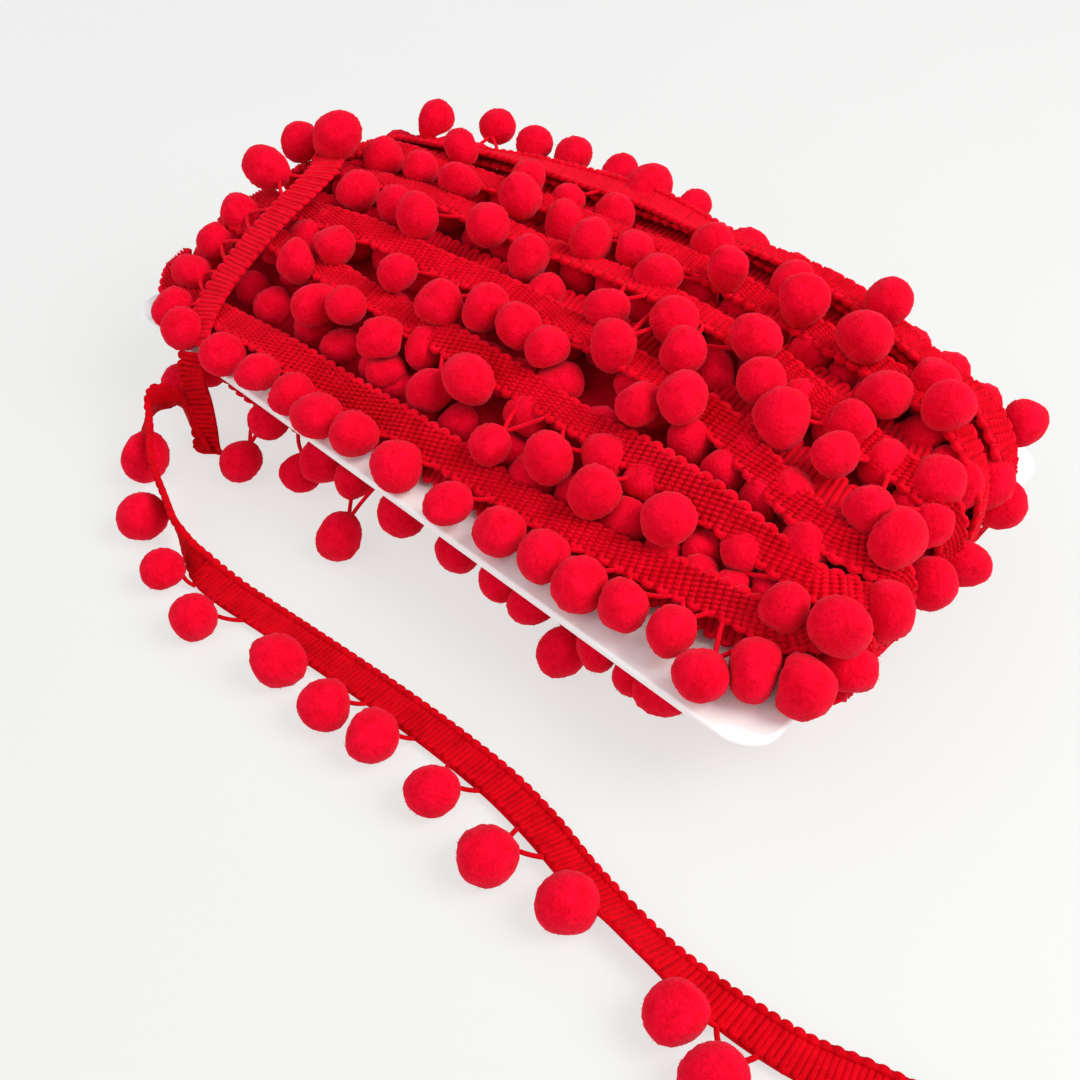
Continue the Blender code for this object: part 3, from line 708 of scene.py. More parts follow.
class Graph:
    """A node tree whose nodes are made with their inputs set or linked."""

    def __init__(self, tree: bpy.types.NodeTree) -> None:
        """Takes the tree."""
        self.tree = tree

    def wire(self, node: bpy.types.Node, **inputs: Any) -> bpy.types.NodeOutputs:
        """Sets or links a node's inputs.

        Args:
            node: The node.
            inputs: By name, its spaces written as underscores: a value, or the output that feeds it.

        Returns:
            The node's outputs.
        """
        for name, given in inputs.items():
            socket = node.inputs[name.replace("_", " ")]
            if isinstance(given, bpy.types.NodeSocket):
                self.tree.links.new(given, socket)
            else:
                socket.default_value = given
        return node.outputs

    def add(self, kind: str, **inputs: Any) -> bpy.types.NodeOutputs:
        """Adds a node of a kind with these inputs, and gives its outputs."""
        return self.wire(self.tree.nodes.new(kind), **inputs)

    def noise(self, **inputs: Any) -> bpy.types.NodeSocket:
        """Adds a noise over Object coordinates with these inputs, and gives its value."""
        where = self.add("ShaderNodeTexCoord")["Object"]
        return self.add("ShaderNodeTexNoise", Vector=where, **inputs)["Fac"]

    def mix(self, kind: str, **inputs: Any) -> bpy.types.NodeSocket:
        """Adds a mix of two values or colours.

        Args:
            kind: FLOAT for values or RGBA for colours.
            inputs: As for wire.

        Returns:
            The result.
        """
        node = self.tree.nodes.new("ShaderNodeMix")
        node.data_type = kind
        return self.wire(node, **inputs)["Result"]


def new_material(name: str) -> tuple[Material, Graph, bpy.types.Node]:
    """Makes a node material.

    Args:
        name: The material's name.

    Returns:
        The material, its graph and its Principled shader.
    """
    material = bpy.data.materials.new(name)
    material.use_nodes = True
    return material, Graph(material.node_tree), material.node_tree.nodes["Principled BSDF"]


def fibre_group() -> bpy.types.ShaderNodeTree:
    """The shared effect of dyed fibre: mottled colour and a raised nap, from two sizes of noise.

    Returns:
        A group that takes Grain and Patch, in parts a metre, and two colours, and puts out Color, the
        blend of the colours by both noises, and Height, the finer noise with some of the coarser.
    """
    group = bpy.data.node_groups.new("dyed_fibre", "ShaderNodeTree")
    for name, way, kind in (("Grain", "INPUT", "Float"), ("Patch", "INPUT", "Float"),
                            ("Deep", "INPUT", "Color"), ("Bright", "INPUT", "Color"),
                            ("Color", "OUTPUT", "Color"), ("Height", "OUTPUT", "Float")):
        group.interface.new_socket(name, in_out=way, socket_type=f"NodeSocket{kind}")
    graph = Graph(group)
    given = graph.add("NodeGroupInput")
    fine = graph.noise(Scale=given["Grain"], Detail=3.0, Roughness=0.65)
    coarse = graph.noise(Scale=given["Patch"], Detail=2.0)
    blend = graph.mix("FLOAT", A=fine, B=coarse, Factor=0.45)
    spread = graph.add("ShaderNodeMapRange", Value=blend, From_Min=0.34, From_Max=0.66)["Result"]
    colour = graph.mix("RGBA", A=given["Deep"], B=given["Bright"], Factor=spread)
    graph.add("NodeGroupOutput", Color=colour, Height=blend)
    return group


@dataclass(frozen=True)
class FibreFinish:
    """Dyed red fibre, as felt or braid, and darker copies of it that are painted shade, for the core and
    the loose end.

    Sizes are parts a metre; the nap is how deep the surface looks, in metres.
    """

    name: str
    deep: Triple
    bright: Triple
    grain: float
    patch: float
    nap: float
    strength: float
    sheen: float
    roughness: float = 0.9

    def material(self, group: bpy.types.ShaderNodeTree) -> Material:
        """Makes the material from the shared fibre group, which colours it and raises its nap.

        Args:
            group: The dyed fibre group.

        Returns:
            The material.
        """
        material, graph, shader = new_material(self.name)
        fibre = graph.tree.nodes.new("ShaderNodeGroup")
        fibre.node_tree = group
        made = graph.wire(fibre, Grain=self.grain, Patch=self.patch, Deep=(*self.deep, 1.0),
                          Bright=(*self.bright, 1.0))
        bump = graph.add("ShaderNodeBump", Strength=self.strength, Distance=self.nap, Height=made["Height"])
        graph.wire(shader, Base_Color=made["Color"], Normal=bump["Normal"], Roughness=self.roughness,
                   Specular_IOR_Level=0.03, Sheen_Weight=self.sheen, Sheen_Roughness=0.4,
                   Sheen_Tint=(1.0, 0.3, 0.42, 1.0))
        return material


FELT = FibreFinish("red_felt", (0.60, 0.0004, 0.010), (0.84, 0.0026, 0.030), 1500, 420, 0.0007, 0.8, 0.17)
CORD = FibreFinish("red_cord", (0.55, 0.0003, 0.006), (0.82, 0.0022, 0.022), 3000, 300, 0.00015, 0.6, 0.12,
                   roughness=0.7)
# Painted shade: the same cord, made darker and with less sheen, for the loose end.
CORD_PAINTED_SHADE = FibreFinish("red_loose_cord_painted_shade", (0.42, 0.0002, 0.003), (0.66, 0.0010, 0.009), 3000, 300, 0.0002, 0.6,
                    0.05, roughness=0.8)
# Painted shade: the core is a darker red than the trim, standing in for the shade deep in the winding.
PAINTED_SHADE_CORE = FibreFinish("red_core_painted_shade", (0.22, 0.0004, 0.004), (0.38, 0.0010, 0.010), 1200, 260, 0.0006, 0.7, 0.0)


@dataclass(frozen=True)
class CardFinish:
    """White card stock with a soft sheen, slightly uneven."""

    name: str = "white_card"
    colour: Triple = (0.89, 0.89, 0.88)
    shaded: Triple = (0.86, 0.86, 0.85)

    def material(self) -> Material:
        """Makes the material: noise blends two whites, and sets the roughness and a faint bump.

        Returns:
            The material.
        """
        material, graph, shader = new_material(self.name)
        cloud = graph.noise(Scale=60.0, Detail=4.0)
        colour = graph.mix("RGBA", A=(*self.shaded, 1.0), B=(*self.colour, 1.0), Factor=cloud)
        gloss = graph.add("ShaderNodeMapRange", Value=cloud, To_Min=0.28, To_Max=0.46)["Result"]
        bump = graph.add("ShaderNodeBump", Strength=0.15, Distance=0.0001, Height=graph.noise(Scale=900.0))
        graph.wire(shader, Base_Color=colour, Roughness=gloss, Normal=bump["Normal"])
        return material


@dataclass(frozen=True)
class FloorFinish:
    """A plain pale tabletop, faintly lit from within like a light table, so that its shadows stay soft."""

    name: str = "pale_floor"
    colour: Triple = (0.155, 0.16, 0.155)
    other: Triple = (0.17, 0.175, 0.17)
    glow: Triple = (1.0, 1.0, 0.985)
    glow_strength: float = 0.66

    def material(self) -> Material:
        """Makes the material: a broad noise blends two greys under an even glow.

        Returns:
            The material.
        """
        material, graph, shader = new_material(self.name)
        cloud = graph.noise(Scale=9.0)
        colour = graph.mix("RGBA", A=(*self.colour, 1.0), B=(*self.other, 1.0), Factor=cloud)
        graph.wire(shader, Base_Color=colour, Roughness=0.7, Emission_Color=(*self.glow, 1.0),
                   Emission_Strength=self.glow_strength)
        return material


@dataclass(frozen=True)
class Dyes:
    """The made materials that the trim's pieces share."""

    felt: Material
    cord: Material
    # loose: the cord's darker copy, painted shade for the loose end
    loose: Material
    # depth: the core's darker red, painted shade
    depth: Material

    @staticmethod
    def mixed() -> "Dyes":
        """Makes the fibre group and the four red materials."""
        group = fibre_group()
        return Dyes(*(finish.material(group) for finish in (FELT, CORD, CORD_PAINTED_SHADE, PAINTED_SHADE_CORE)))


# ---- braid


@dataclass(frozen=True)
class Weave:
    """How the braid's weft cord is laid: to and fro across it, under and over its binding threads.

    samples is how many points a crossing has, and pitch how far apart crossings lie. beads, lift and swell
    give the waves of a crossing, loop and drop the turns at its ends, and slant its lean.
    """

    samples: int
    pitch: float = 1.52
    sides: int = 5
    radius: float = 0.68
    squash: float = 1.0
    beads: int = 0
    lift: float = 0.0
    swell: float = 0.0
    loop: float = 0.78
    drop: float = 0.0
    slant: float = -0.25
    half_width: float = 3.1


class Side(Enum):
    """Which face of the braid shows, and how finely it is made."""

    FRONT = Weave(24, beads=6, radius=0.75, lift=0.36, swell=0.27, loop=0.52, drop=0.1, slant=-0.18,
                  half_width=2.8)
    BACK = Weave(8, pitch=1.15, radius=0.62, squash=0.70, loop=0.45, slant=0.05, half_width=3.1)
    HIDDEN = Weave(6, sides=4)
    FLAT = Weave(10, pitch=1.02, radius=0.66, squash=0.38, loop=0.3, slant=-0.1, half_width=2.55)


@dataclass
class Braid:
    """Gimp braid laid along a route from low to high: a weft cord to and fro, on a flat backing.

    Each wander is how far a measure strays and over what length. loop_turns are the places round a turn,
    as shares of half a turn.
    """

    route: Route
    rng: Rng
    low: float = 0.0
    high: float = np.inf
    uneven: float = 0.06
    width_wander: Pair = (0.22, 9.0)
    slant_wander: Pair = (0.5, 23.0)
    lift_wander: Pair = (0.3, 17.0)
    lift_spread: Pair = (0.8, 1.2)
    loop_turns: tuple[float, ...] = (0.12, 0.31, 0.5, 0.69, 0.88)
    loop_spread: Pair = (-0.15, 0.2)
    loop_swell: float = 1.12
    knob_pitch: float = 2.15
    knob_radii: Pair = (0.42, 0.92)
    knob_sway: float = 0.25
    backing_half: float = 3.4
    backing_heights: Pair = (-0.7, -1.35)
    backing_step: float = 1.5

    def __post_init__(self) -> None:
        """Ends the stretch where the route ends."""
        self.high = min(self.high, self.route.length())

    def weft(self, surfaces: Surfaces, side: Side) -> None:
        """Adds the weft cord, one long bar that crosses the braid at every pitch.

        On crossing k the cord runs from one edge to the other, at s = s_k + slant v, its height lift times
        cos(2 pi beads q + pi k + or - pi / 4) for the share q of the way. At each edge it turns back round
        half an oval that reaches loop past the edge and dips by drop.

        Args:
            surfaces: Where the bar goes.
            side: Which face shows.
        """
        weave, rng = side.value, self.rng
        crossings = int((self.high - self.low) / weave.pitch)
        k = np.arange(crossings + 1)
        starts = self.low + k * weave.pitch + rng.normal(0.0, self.uneven, len(k))
        width = (weave.half_width + wander(starts, *self.width_wander, rng))[:-1, None]
        slant = (weave.slant * (1.0 + wander(starts, *self.slant_wander, rng)))[:-1, None]
        start, gap, k = starts[:-1, None], np.diff(starts)[:, None], k[:-1, None]
        way = np.where(k % 2 == 0, 1.0, -1.0)
        q = (np.arange(weave.samples) + 0.5) / weave.samples
        across = way * width * (2 * q - 1)
        wave = min(weave.beads, 1) * np.cos(2 * np.pi * weave.beads * q + np.pi * (way / 4 + k))
        wave = wave * np.clip(1.0 + wander(starts, *self.lift_wander, rng), *self.lift_spread)[:-1, None]
        turn = np.array(self.loop_turns) * np.pi
        loop = weave.loop * (1.0 + rng.uniform(*self.loop_spread, (crossings, 1)))

        def row(crossing: Array, turning: Array | float) -> Array:
            """One row of values, each crossing's and then its turn's."""
            turning = np.broadcast_to(turning, (crossings, len(turn)))
            return np.concatenate([crossing, turning], axis=1).reshape(1, -1)

        s = row(start + slant * across, start + gap / 2 * (1 - np.cos(turn)) + slant * way * width)
        s = np.clip(s, 0.0, self.route.length())
        v = row(across, way * (width + loop * np.sin(turn)))
        h = row(weave.lift * wave, -weave.drop * np.sin(turn)) - weave.radius
        swell = row(1.0 + weave.swell * wave, self.loop_swell)
        centres = self.route.place(s, v, h)
        facing = self.route.place(s, v, h + 1.0) - centres
        course = self.route.place(s, v, 0.0)
        surfaces.tubes(centres, weave.radius * swell, facing, weave.sides, weave.squash, course)

    def knobs(self, surfaces: Surfaces, v: float) -> None:
        """Adds the knobs of the edge at v: a bar along it, thick by |sin(pi s / pitch)|^0.7.

        Args:
            surfaces: Where the bar goes.
            v: How far across from the middle it lies.
        """
        thin, thick = self.knob_radii
        s = np.arange(self.low + 1.0, self.high - 1.0, self.knob_pitch / 8)[None]
        share = np.abs(np.sin(np.pi * s / self.knob_pitch)) ** 0.7
        centres = self.route.place(s, v - self.knob_sway * np.sign(v) * (1 - share), MID_HEIGHT)
        facing = self.route.place(s, v, MID_HEIGHT + 1.0) - centres
        surfaces.tubes(centres, thin + (thick - thin) * share, facing, 6)

    def backing(self, surfaces: Surfaces) -> None:
        """Adds the flat backing: a bar of oblong section under the outer face.

        Args:
            surfaces: Where the bar goes.
        """
        s = np.linspace(self.low, self.high, max(int((self.high - self.low) / self.backing_step), 4))
        v = np.array([-1.0, 1.0, 1.0, -1.0]) * self.backing_half
        h = np.repeat(self.backing_heights, 2)
        surfaces.band(self.route.place(*np.broadcast_arrays(s[:, None], v, h)))

    def cover(self, surfaces: Surfaces, side: Side) -> None:
        """Adds the weft cord and the backing."""
        self.weft(surfaces, side)
        self.backing(surfaces)


# ---- pompoms


@dataclass(frozen=True)
class Pompom:
    """One pompom: its middle, its radius and the root of its thread on the braid's edge."""

    centre: Array
    radius: float
    root: Array


def columns(balls: list[Pompom]) -> tuple[Array, ...]:
    """The pompoms' middles, radii and roots, a row for each."""
    return tuple(np.array([getattr(ball, name) for ball in balls]) for name in ("centre", "radius", "root"))


def hung(table: tuple[Spot, ...], route: Route, edge: float) -> list[Pompom]:
    """Pompoms at listed places, each rooted at the nearest place of a route's edge.

    Args:
        table: The pompoms' places.
        route: The braid's route.
        edge: How far across from its middle the edge lies, with its sign.

    Returns:
        The pompoms.
    """
    centres = np.array([(spot.x, spot.y, spot.z) for spot in table])
    roots = route.place(route.nearest(centres, edge), edge, ROOT_HEIGHT)
    return [Pompom(centre, spot.radius, root) for centre, spot, root in zip(centres, table, roots)]


@dataclass(frozen=True)
class PompomMaker:
    """Makes felt pompoms, their pile and the thread loops that they hang on.

    feet gives, for each half of a loop, which way along the braid it leaves and how far off.
    """

    rows: int = 11
    around: int = 20
    lumps: int = 6
    lump_size: float = 0.05
    touching: int = 6
    dents: int = 4
    dent_depth: Pair = (0.84, 1.05)
    press: Pair = (0.55, 5.0)
    grown: float = 1.06
    tear: float = 0.12
    stretch: Pair = (0.84, 1.08)
    grain: float = 0.012
    fibres: int = 150
    fibre_length: Pair = (0.25, 0.6)
    fibre_width: float = 0.10
    fibre_lean: float = 0.45
    fibre_root: float = 0.985
    feet: tuple[tuple[float, Pair], ...] = ((-1.0, (1.5, 3.5)), (1.0, (3.0, 6.5)))
    thread_radius: float = 0.48
    thread_bulge: float = 2.2
    thread_inset: float = 0.5
    knot_reach: float = 0.8

    def shape(self, away: Array, bumps: Array, sizes: Array, depths: Array, tear: Array) -> Array:
        """How far a pompom reaches in a direction, as a share of its radius.

        It is a ball pressed flat in places: (1 + the sum over flats of (cos angle / depth)^7)^(-1/7), plus
        the sum over lumps of size times exp(6 (cos angle - 1)), plus tear times exp(9 (cos angle to the
        thread - 1)).

        Args:
            away: Directions by pompom, with the thread along +Z.
            bumps: The directions of its lumps and then its flats, by pompom.
            sizes: The lumps' sizes by pompom.
            depths: How far out each flat lies, by pompom.
            tear: How far each is drawn out to its thread.

        Returns:
            The reach of each direction.
        """
        near = np.einsum("nmc,nlc->nml", away, bumps)
        pressed = np.maximum(near[..., self.lumps:], 0.0) / depths[:, None]
        reach = (1.0 + np.sum(pressed**7, axis=2)) ** (-1 / 7)
        reach = reach + np.sum(sizes[:, None] * np.exp(6.0 * (near[..., :self.lumps] - 1.0)), axis=2)
        return self.grown * reach + tear[:, None] * np.exp(9.0 * (away[..., 2] - 1.0))

    def flats(self, centres: Array, radii: Array, crowd: list[Pompom]) -> tuple[Array, Array]:
        """Where each pompom is pressed flat by its nearest neighbours.

        Args:
            centres: The pompoms' middles.
            radii: Their radii.
            crowd: All the pompoms that may touch them.

        Returns:
            The way to each neighbour, and half the distance to it as a share of the radius.
        """
        apart = np.array([ball.centre for ball in crowd])[None] - centres[:, None]
        distance = np.linalg.norm(apart, axis=2)
        distance[distance < 0.01] = np.inf
        nearest = np.argsort(distance, axis=1)[:, :self.touching]
        ways = np.take_along_axis(apart, nearest[..., None], axis=1)
        depths = np.take_along_axis(distance, nearest, axis=1) / 2 / radii[:, None]
        return unit(ways), np.clip(depths / self.grown, *self.press)

    def build(self, balls: list[Pompom], crowd: list[Pompom], rng: Rng, felt: Surfaces,
              pile: Surfaces | None = None) -> None:
        """Adds the pompoms, and fibres that stand out of them.

        Args:
            balls: The pompoms.
            crowd: All the pompoms that may press on them.
            rng: The source of their unevenness.
            felt: Where the pompoms go.
            pile: Where the fibres go, or None for none.
        """
        count = len(balls)
        centres, radii, roots = columns(balls)
        thread = unit(roots - centres)
        side = unit(np.cross(thread, rng.normal(size=(count, 3))))
        turned = np.stack([side, np.cross(thread, side), thread], axis=1)
        bumps = unit(rng.normal(size=(count, self.lumps + self.dents, 3)))
        ways, depths = self.flats(centres, radii, crowd)
        bumps = np.concatenate([bumps, np.einsum("nfd,ncd->nfc", ways, turned)], axis=1)
        depths = np.concatenate([rng.uniform(*self.dent_depth, (count, self.dents)), depths], axis=1)
        sizes = rng.uniform(-1.0, 1.0, (count, self.lumps)) * self.lump_size
        tear = rng.uniform(0.0, 1.0, count) ** 2 * 2 * self.tear
        stretch = rng.uniform(*self.stretch, (count, 1, 3))
        polar = np.linspace(0.0, np.pi, self.rows + 2)[1:-1, None]
        azimuth = np.linspace(0.0, 2 * np.pi, self.around, endpoint=False)[None] + polar * 0.4
        ring = np.stack([np.sin(polar) * np.cos(azimuth), np.sin(polar) * np.sin(azimuth),
                         np.broadcast_to(np.cos(polar), azimuth.shape)], axis=-1).reshape(-1, 3)
        grid = np.concatenate([[[0.0, 0.0, 1.0]], ring, [[0.0, 0.0, -1.0]]])
        away = np.broadcast_to(grid, (count, *grid.shape))
        reach = self.shape(away, bumps, sizes, depths, tear) + rng.normal(0.0, self.grain, away.shape[:2])

        def laid(directions: Array, reaches: Array) -> Array:
            """Directions and reaches turned to the thread and put in place."""
            local = directions * (reaches * radii[:, None])[..., None] * stretch
            return centres[:, None] + np.einsum("nmc,ncd->nmd", local, turned)

        felt.balls(laid(away, reach), self.rows, self.around)
        if pile is None:
            return
        stand = unit(rng.normal(size=(count, self.fibres, 3)))
        lean = unit(stand + rng.normal(0.0, self.fibre_lean, stand.shape))
        length = rng.uniform(*self.fibre_length, (count, self.fibres, 1))
        roots = laid(stand, self.shape(stand, bumps, sizes, depths, tear) * self.fibre_root)
        tips = roots + np.einsum("nmc,ncd->nmd", lean, turned) * length
        pile.needles(roots.reshape(-1, 3), tips.reshape(-1, 3), self.fibre_width)

    def threads(self, balls: list[Pompom], route: Route, edge: float, rng: Rng, surfaces: Surfaces) -> None:
        """Adds the loop of thread that each pompom hangs on.

        The loop leaves the braid's edge short of the pompom, runs into the pompom and comes back to the
        edge beyond it; each half is the curve (1-t)^2 A + 2 t (1-t) B + t^2 C.

        Args:
            balls: The pompoms.
            route: The braid's route.
            edge: How far across from its middle the edge lies, with its sign.
            rng: The source of their unevenness.
            surfaces: Where the threads go.
        """
        if not balls:
            return
        centres, radii, _ = columns(balls)
        s = route.nearest(centres, edge)
        inside = edge - np.sign(edge) * self.thread_inset
        toward = unit(route.place(s, inside, MID_HEIGHT) - centres)
        knot = centres + toward * radii[:, None] * self.knot_reach
        t = np.linspace(0.0, 1.0, 8)[None, :, None]
        for way, reach in self.feet:
            foot_s = np.clip(s + way * rng.uniform(*reach, len(s)), 0.0, route.length())
            foot = route.place(foot_s, inside, MID_HEIGHT)
            past = route.place(foot_s, inside + np.sign(edge) * self.thread_bulge, -0.7)
            middle = 0.55 * past + 0.45 * knot
            curve = (1 - t) ** 2 * foot[:, None] + 2 * t * (1 - t) * middle[:, None] + t * t * knot[:, None]
            facing = np.broadcast_to(np.array([0.12, 0.2, 0.97]), curve.shape)
            surfaces.tubes(curve, np.full(curve.shape[:2], self.thread_radius), facing, 5)


FINE_POMPOMS = PompomMaker()
LOWER_POMPOMS = PompomMaker(rows=7, around=14)
HIDDEN_POMPOMS = PompomMaker(rows=5, around=10)


# ---- sub-assemblies


@dataclass(frozen=True)
class Card:
    """The flat white card, with rounded corners and rounded edges."""

    length: float = 188.6
    width: float = 103.4
    thickness: float = 2.0
    corner: float = 7.5
    rounding: float = 0.8
    middle: Triple = (-1.6, 0.8, 20.0)
    skew: float = -0.031
    corner_points: int = 14
    edge_points: int = 7
    sharp_from: float = 0.6

    @staticmethod
    def spin(angle: float) -> Array:
        """The matrix that turns rows of x and y anticlockwise."""
        return np.array([[np.cos(angle), np.sin(angle)], [-np.sin(angle), np.cos(angle)]])

    def outline(self, inward: float) -> Array:
        """The rounded outline, moved inwards: four corner arcs, each a quarter turn on from the last.

        Args:
            inward: How far it is moved inwards.

        Returns:
            Rows of x and y.
        """
        quarter = np.linspace(0.0, np.pi / 2, self.corner_points)
        arc = np.stack([np.cos(quarter), np.sin(quarter)], axis=1) * (self.corner - inward)
        x, y = self.length / 2 - self.corner, self.width / 2 - self.corner
        centres = ((x, y), (-x, y), (-x, -y), (x, -y))
        parts = [arc @ self.spin(i * np.pi / 2) + centre for i, centre in enumerate(centres)]
        return np.concatenate(parts) @ self.spin(self.skew) + self.middle[:2]

    def over(self, x: float, y: float, margin: float) -> bool:
        """Whether a place lies over the card or within a margin of it."""
        across = np.abs(np.array([x - self.middle[0], y - self.middle[1]]) @ self.spin(-self.skew))
        return bool(across[0] < self.length / 2 + margin and across[1] < self.width / 2 + margin)

    def build(self, material: Material) -> None:
        """Builds the card: outlines up through it, drawn in by 1 - sin and raised by cos at each edge.

        Args:
            material: The card's material.
        """
        turn = np.linspace(0.0, np.pi / 2, self.edge_points)
        inward = self.rounding * (1 - np.sin(turn))
        height = self.thickness / 2 - self.rounding * (1 - np.cos(turn))
        rings = []
        for z, step in list(zip(-height, inward)) + list(zip(height[::-1], inward[::-1])):
            outline = self.outline(step)
            rings.append(np.column_stack([outline, np.full(len(outline), self.middle[2] + z)]))
        surfaces = Surfaces()
        surfaces.band(np.stack(rings))
        piece = surfaces.piece("card_sheet", material, "card")
        piece.data.set_sharp_from_angle(angle=self.sharp_from)
        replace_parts(piece, "card")


@dataclass
class Winding:
    """The wound trim: outer turns, the turns that show between them, the last turn and all the pompoms.

    lean, dip, sway and share_wander are how far a measure strays and over what length.
    """

    form: WoundForm
    card: Card
    dyes: Dyes
    core_inset: float = 8.0
    core_least: float = 1.5
    core_across: tuple[float, float, int] = (-40.0, 44.0, 22)
    core_points: int = 64
    lean: Pair = (0.3, 27.0)
    dip: Pair = (0.8, 21.0)
    sway: Pair = (0.6, 27.0)
    sunk: float = 0.2
    beaded_past: int = 60
    knob_edge: float = 3.2
    share_wander: Pair = (0.06, 40.0)
    end_trim: float = 6.0
    row_trim: float = 4.0
    row_uneven: float = 1.3
    reach_uneven: float = 1.1
    row_sunk: Pair = (-2.4, -0.4)
    last_step: float = 0.5

    def settle(self, x: float, y: float, z: float, radius: float) -> Array:
        """Lifts or lowers a pompom clear of the card and of the table.

        Args:
            x: The pompom's place along the card.
            y: Its place across.
            z: Its height.
            radius: Its radius.

        Returns:
            Its middle, clear of both.
        """
        clear = self.card.thickness / 2 + FIT_GAP + radius
        if self.card.over(x, y, radius) and abs(z - self.form.middle_z) < clear:
            z = self.form.middle_z + np.copysign(clear, z - self.form.middle_z)
        return np.array([x, y, max(z, radius * POMPOM_FLATNESS + POMPOM_FLOOR)])

    def top_pompoms(self, turn: Turn, rng: Rng) -> list[Pompom]:
        """The pompoms along one turn above the card, from its table.

        Args:
            turn: The turn.
            rng: The source of their sizes and heights.

        Returns:
            The pompoms.
        """
        found = []
        for x, reach in turn.pompoms:
            radius = POMPOM_RADIUS * rng.uniform(*POMPOM_SPREAD)
            middle = float(self.form.turn_y(turn, x))
            on_braid = abs(reach) < ON_BRAID_REACH
            proud = radius * ON_BRAID_SHARE if on_braid else rng.uniform(*POMPOM_PROUD)
            y = middle + reach
            usual = Spot(x, y, float(self.form.top_z(x, y)) + proud, radius)
            spot = SLIPPED_POMPOMS.get((turn.name, x), usual)
            edge = middle + np.copysign(ROOT_EDGE, reach)
            root = np.array([x, edge, float(self.form.top_z(x, edge)) - ROOT_SUNK])
            found.append(Pompom(self.settle(spot.x, spot.y, spot.z, spot.radius), spot.radius, root))
        return found

    def under_pompoms(self, index: int, rng: Rng) -> list[Pompom]:
        """The pompoms along one turn below the card.

        Args:
            index: The turn's number.
            rng: The source of their places, sizes and heights.

        Returns:
            The pompoms.
        """
        turn, form = TURNS[index], self.form
        route = form.turn(index)
        evenly = np.arange(UNDER_REACH, -UNDER_REACH, -UNDER_PITCH)
        evenly = evenly + rng.normal(0.0, PITCH_WANDER, len(evenly))
        places = np.sort(turn.under_pompoms or evenly)[::-1]
        below = route.points[:, 2] < form.middle_z - FIT_GAP
        s = np.interp(-places, -route.points[below, 0], route.along()[below])
        middles = route.place(s, 0.0, 0.0)
        edges = route.place(s, turn.side_under * ROOT_EDGE, ROOT_HEIGHT)
        found = []
        for middle, edge in zip(middles, edges):
            radius = POMPOM_RADIUS * rng.uniform(*POMPOM_SPREAD)
            hang = BRAID_WIDTH / 2 + radius + rng.uniform(*THREAD_SHOWING) - turn.tuck
            y = middle[1] + turn.side_under * hang
            reach_x = (middle[0] - form.middle_x) / form.half_length
            share = (1 - abs(reach_x) ** form.square_below) ** (1 / form.square_below)
            z = form.middle_z - (float(form.rise(y)[1]) + rng.uniform(*POMPOM_PROUD)) * share
            found.append(Pompom(self.settle(float(middle[0]), y, z, radius), radius, edge))
        return found

    def build_core(self) -> None:
        """Builds the core in a darker red that is painted shade: loops across the form, core_inset below
        its outer turns.
        """
        angle = np.linspace(0.0, 2 * np.pi, self.core_points, endpoint=False)
        rings = []
        for y in np.linspace(*self.core_across):
            x = self.form.xz(angle, y + 0.0 * angle, self.core_inset)[0]
            outermost = TURNS[0] if y < 0 else TURNS[-1]
            drawn = y * self.form.turn_y(outermost, x) / self.form.turn_y(outermost, np.array(0.0))
            inset = np.minimum(self.core_inset, np.minimum(*self.form.rise(drawn)) - self.core_least)
            z = self.form.xz(angle, drawn, inset)[1]
            rings.append(np.stack([x, drawn, np.maximum(z, self.core_least)], axis=1))
        surfaces = Surfaces()
        surfaces.band(np.stack(rings))
        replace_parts(surfaces.piece("wound_core", self.dyes.depth, "trim"), "winding")

    def build_turn(self, index: int) -> Route:
        """Builds one outer turn: beaded above the card and round its ends, plain below.

        The front turn is beaded all round, and the back one shows its smooth face to BACK_SMOOTH_TO.

        Args:
            index: The turn's number.

        Returns:
            The turn's route, which dips, sways and leans a little as it goes.
        """
        rng = np.random.default_rng((LOOKS_SEED, index))
        plain = self.form.turn(index)
        s = plain.along()
        lean = wander(s, *self.lean, rng)[:, None]
        dip = (wander(s, *self.dip, rng) - self.sunk)[:, None]
        sway = wander(s, *self.sway, rng)[:, None]
        route = Route(plain.points + plain.out * dip + plain.across * sway,
                      unit(plain.across * np.cos(lean) + plain.out * np.sin(lean)),
                      unit(plain.out * np.cos(lean) - plain.across * np.sin(lean)))
        along = route.along()
        half = len(along) // 2
        over_end = float(along[half + self.beaded_past]) if index else route.length()
        surfaces = Surfaces()
        covered = Braid(route, rng, high=over_end)
        if TURNS[index].name == "back":
            covered.low = float(np.interp(BACK_SMOOTH_TO, route.points[:half, 0], along[:half]))
            smooth = Braid(route, rng, high=covered.low)
            smooth.weft(surfaces, Side.FLAT)
            for edge in (-self.knob_edge, self.knob_edge):
                smooth.knobs(surfaces, edge)
        covered.weft(surfaces, Side.FRONT)
        if index:
            Braid(route, rng, over_end).weft(surfaces, Side.HIDDEN)
        Braid(route, rng).backing(surfaces)
        surfaces.piece(f"turn_{TURNS[index].name}", self.dyes.cord, "trim")
        return route

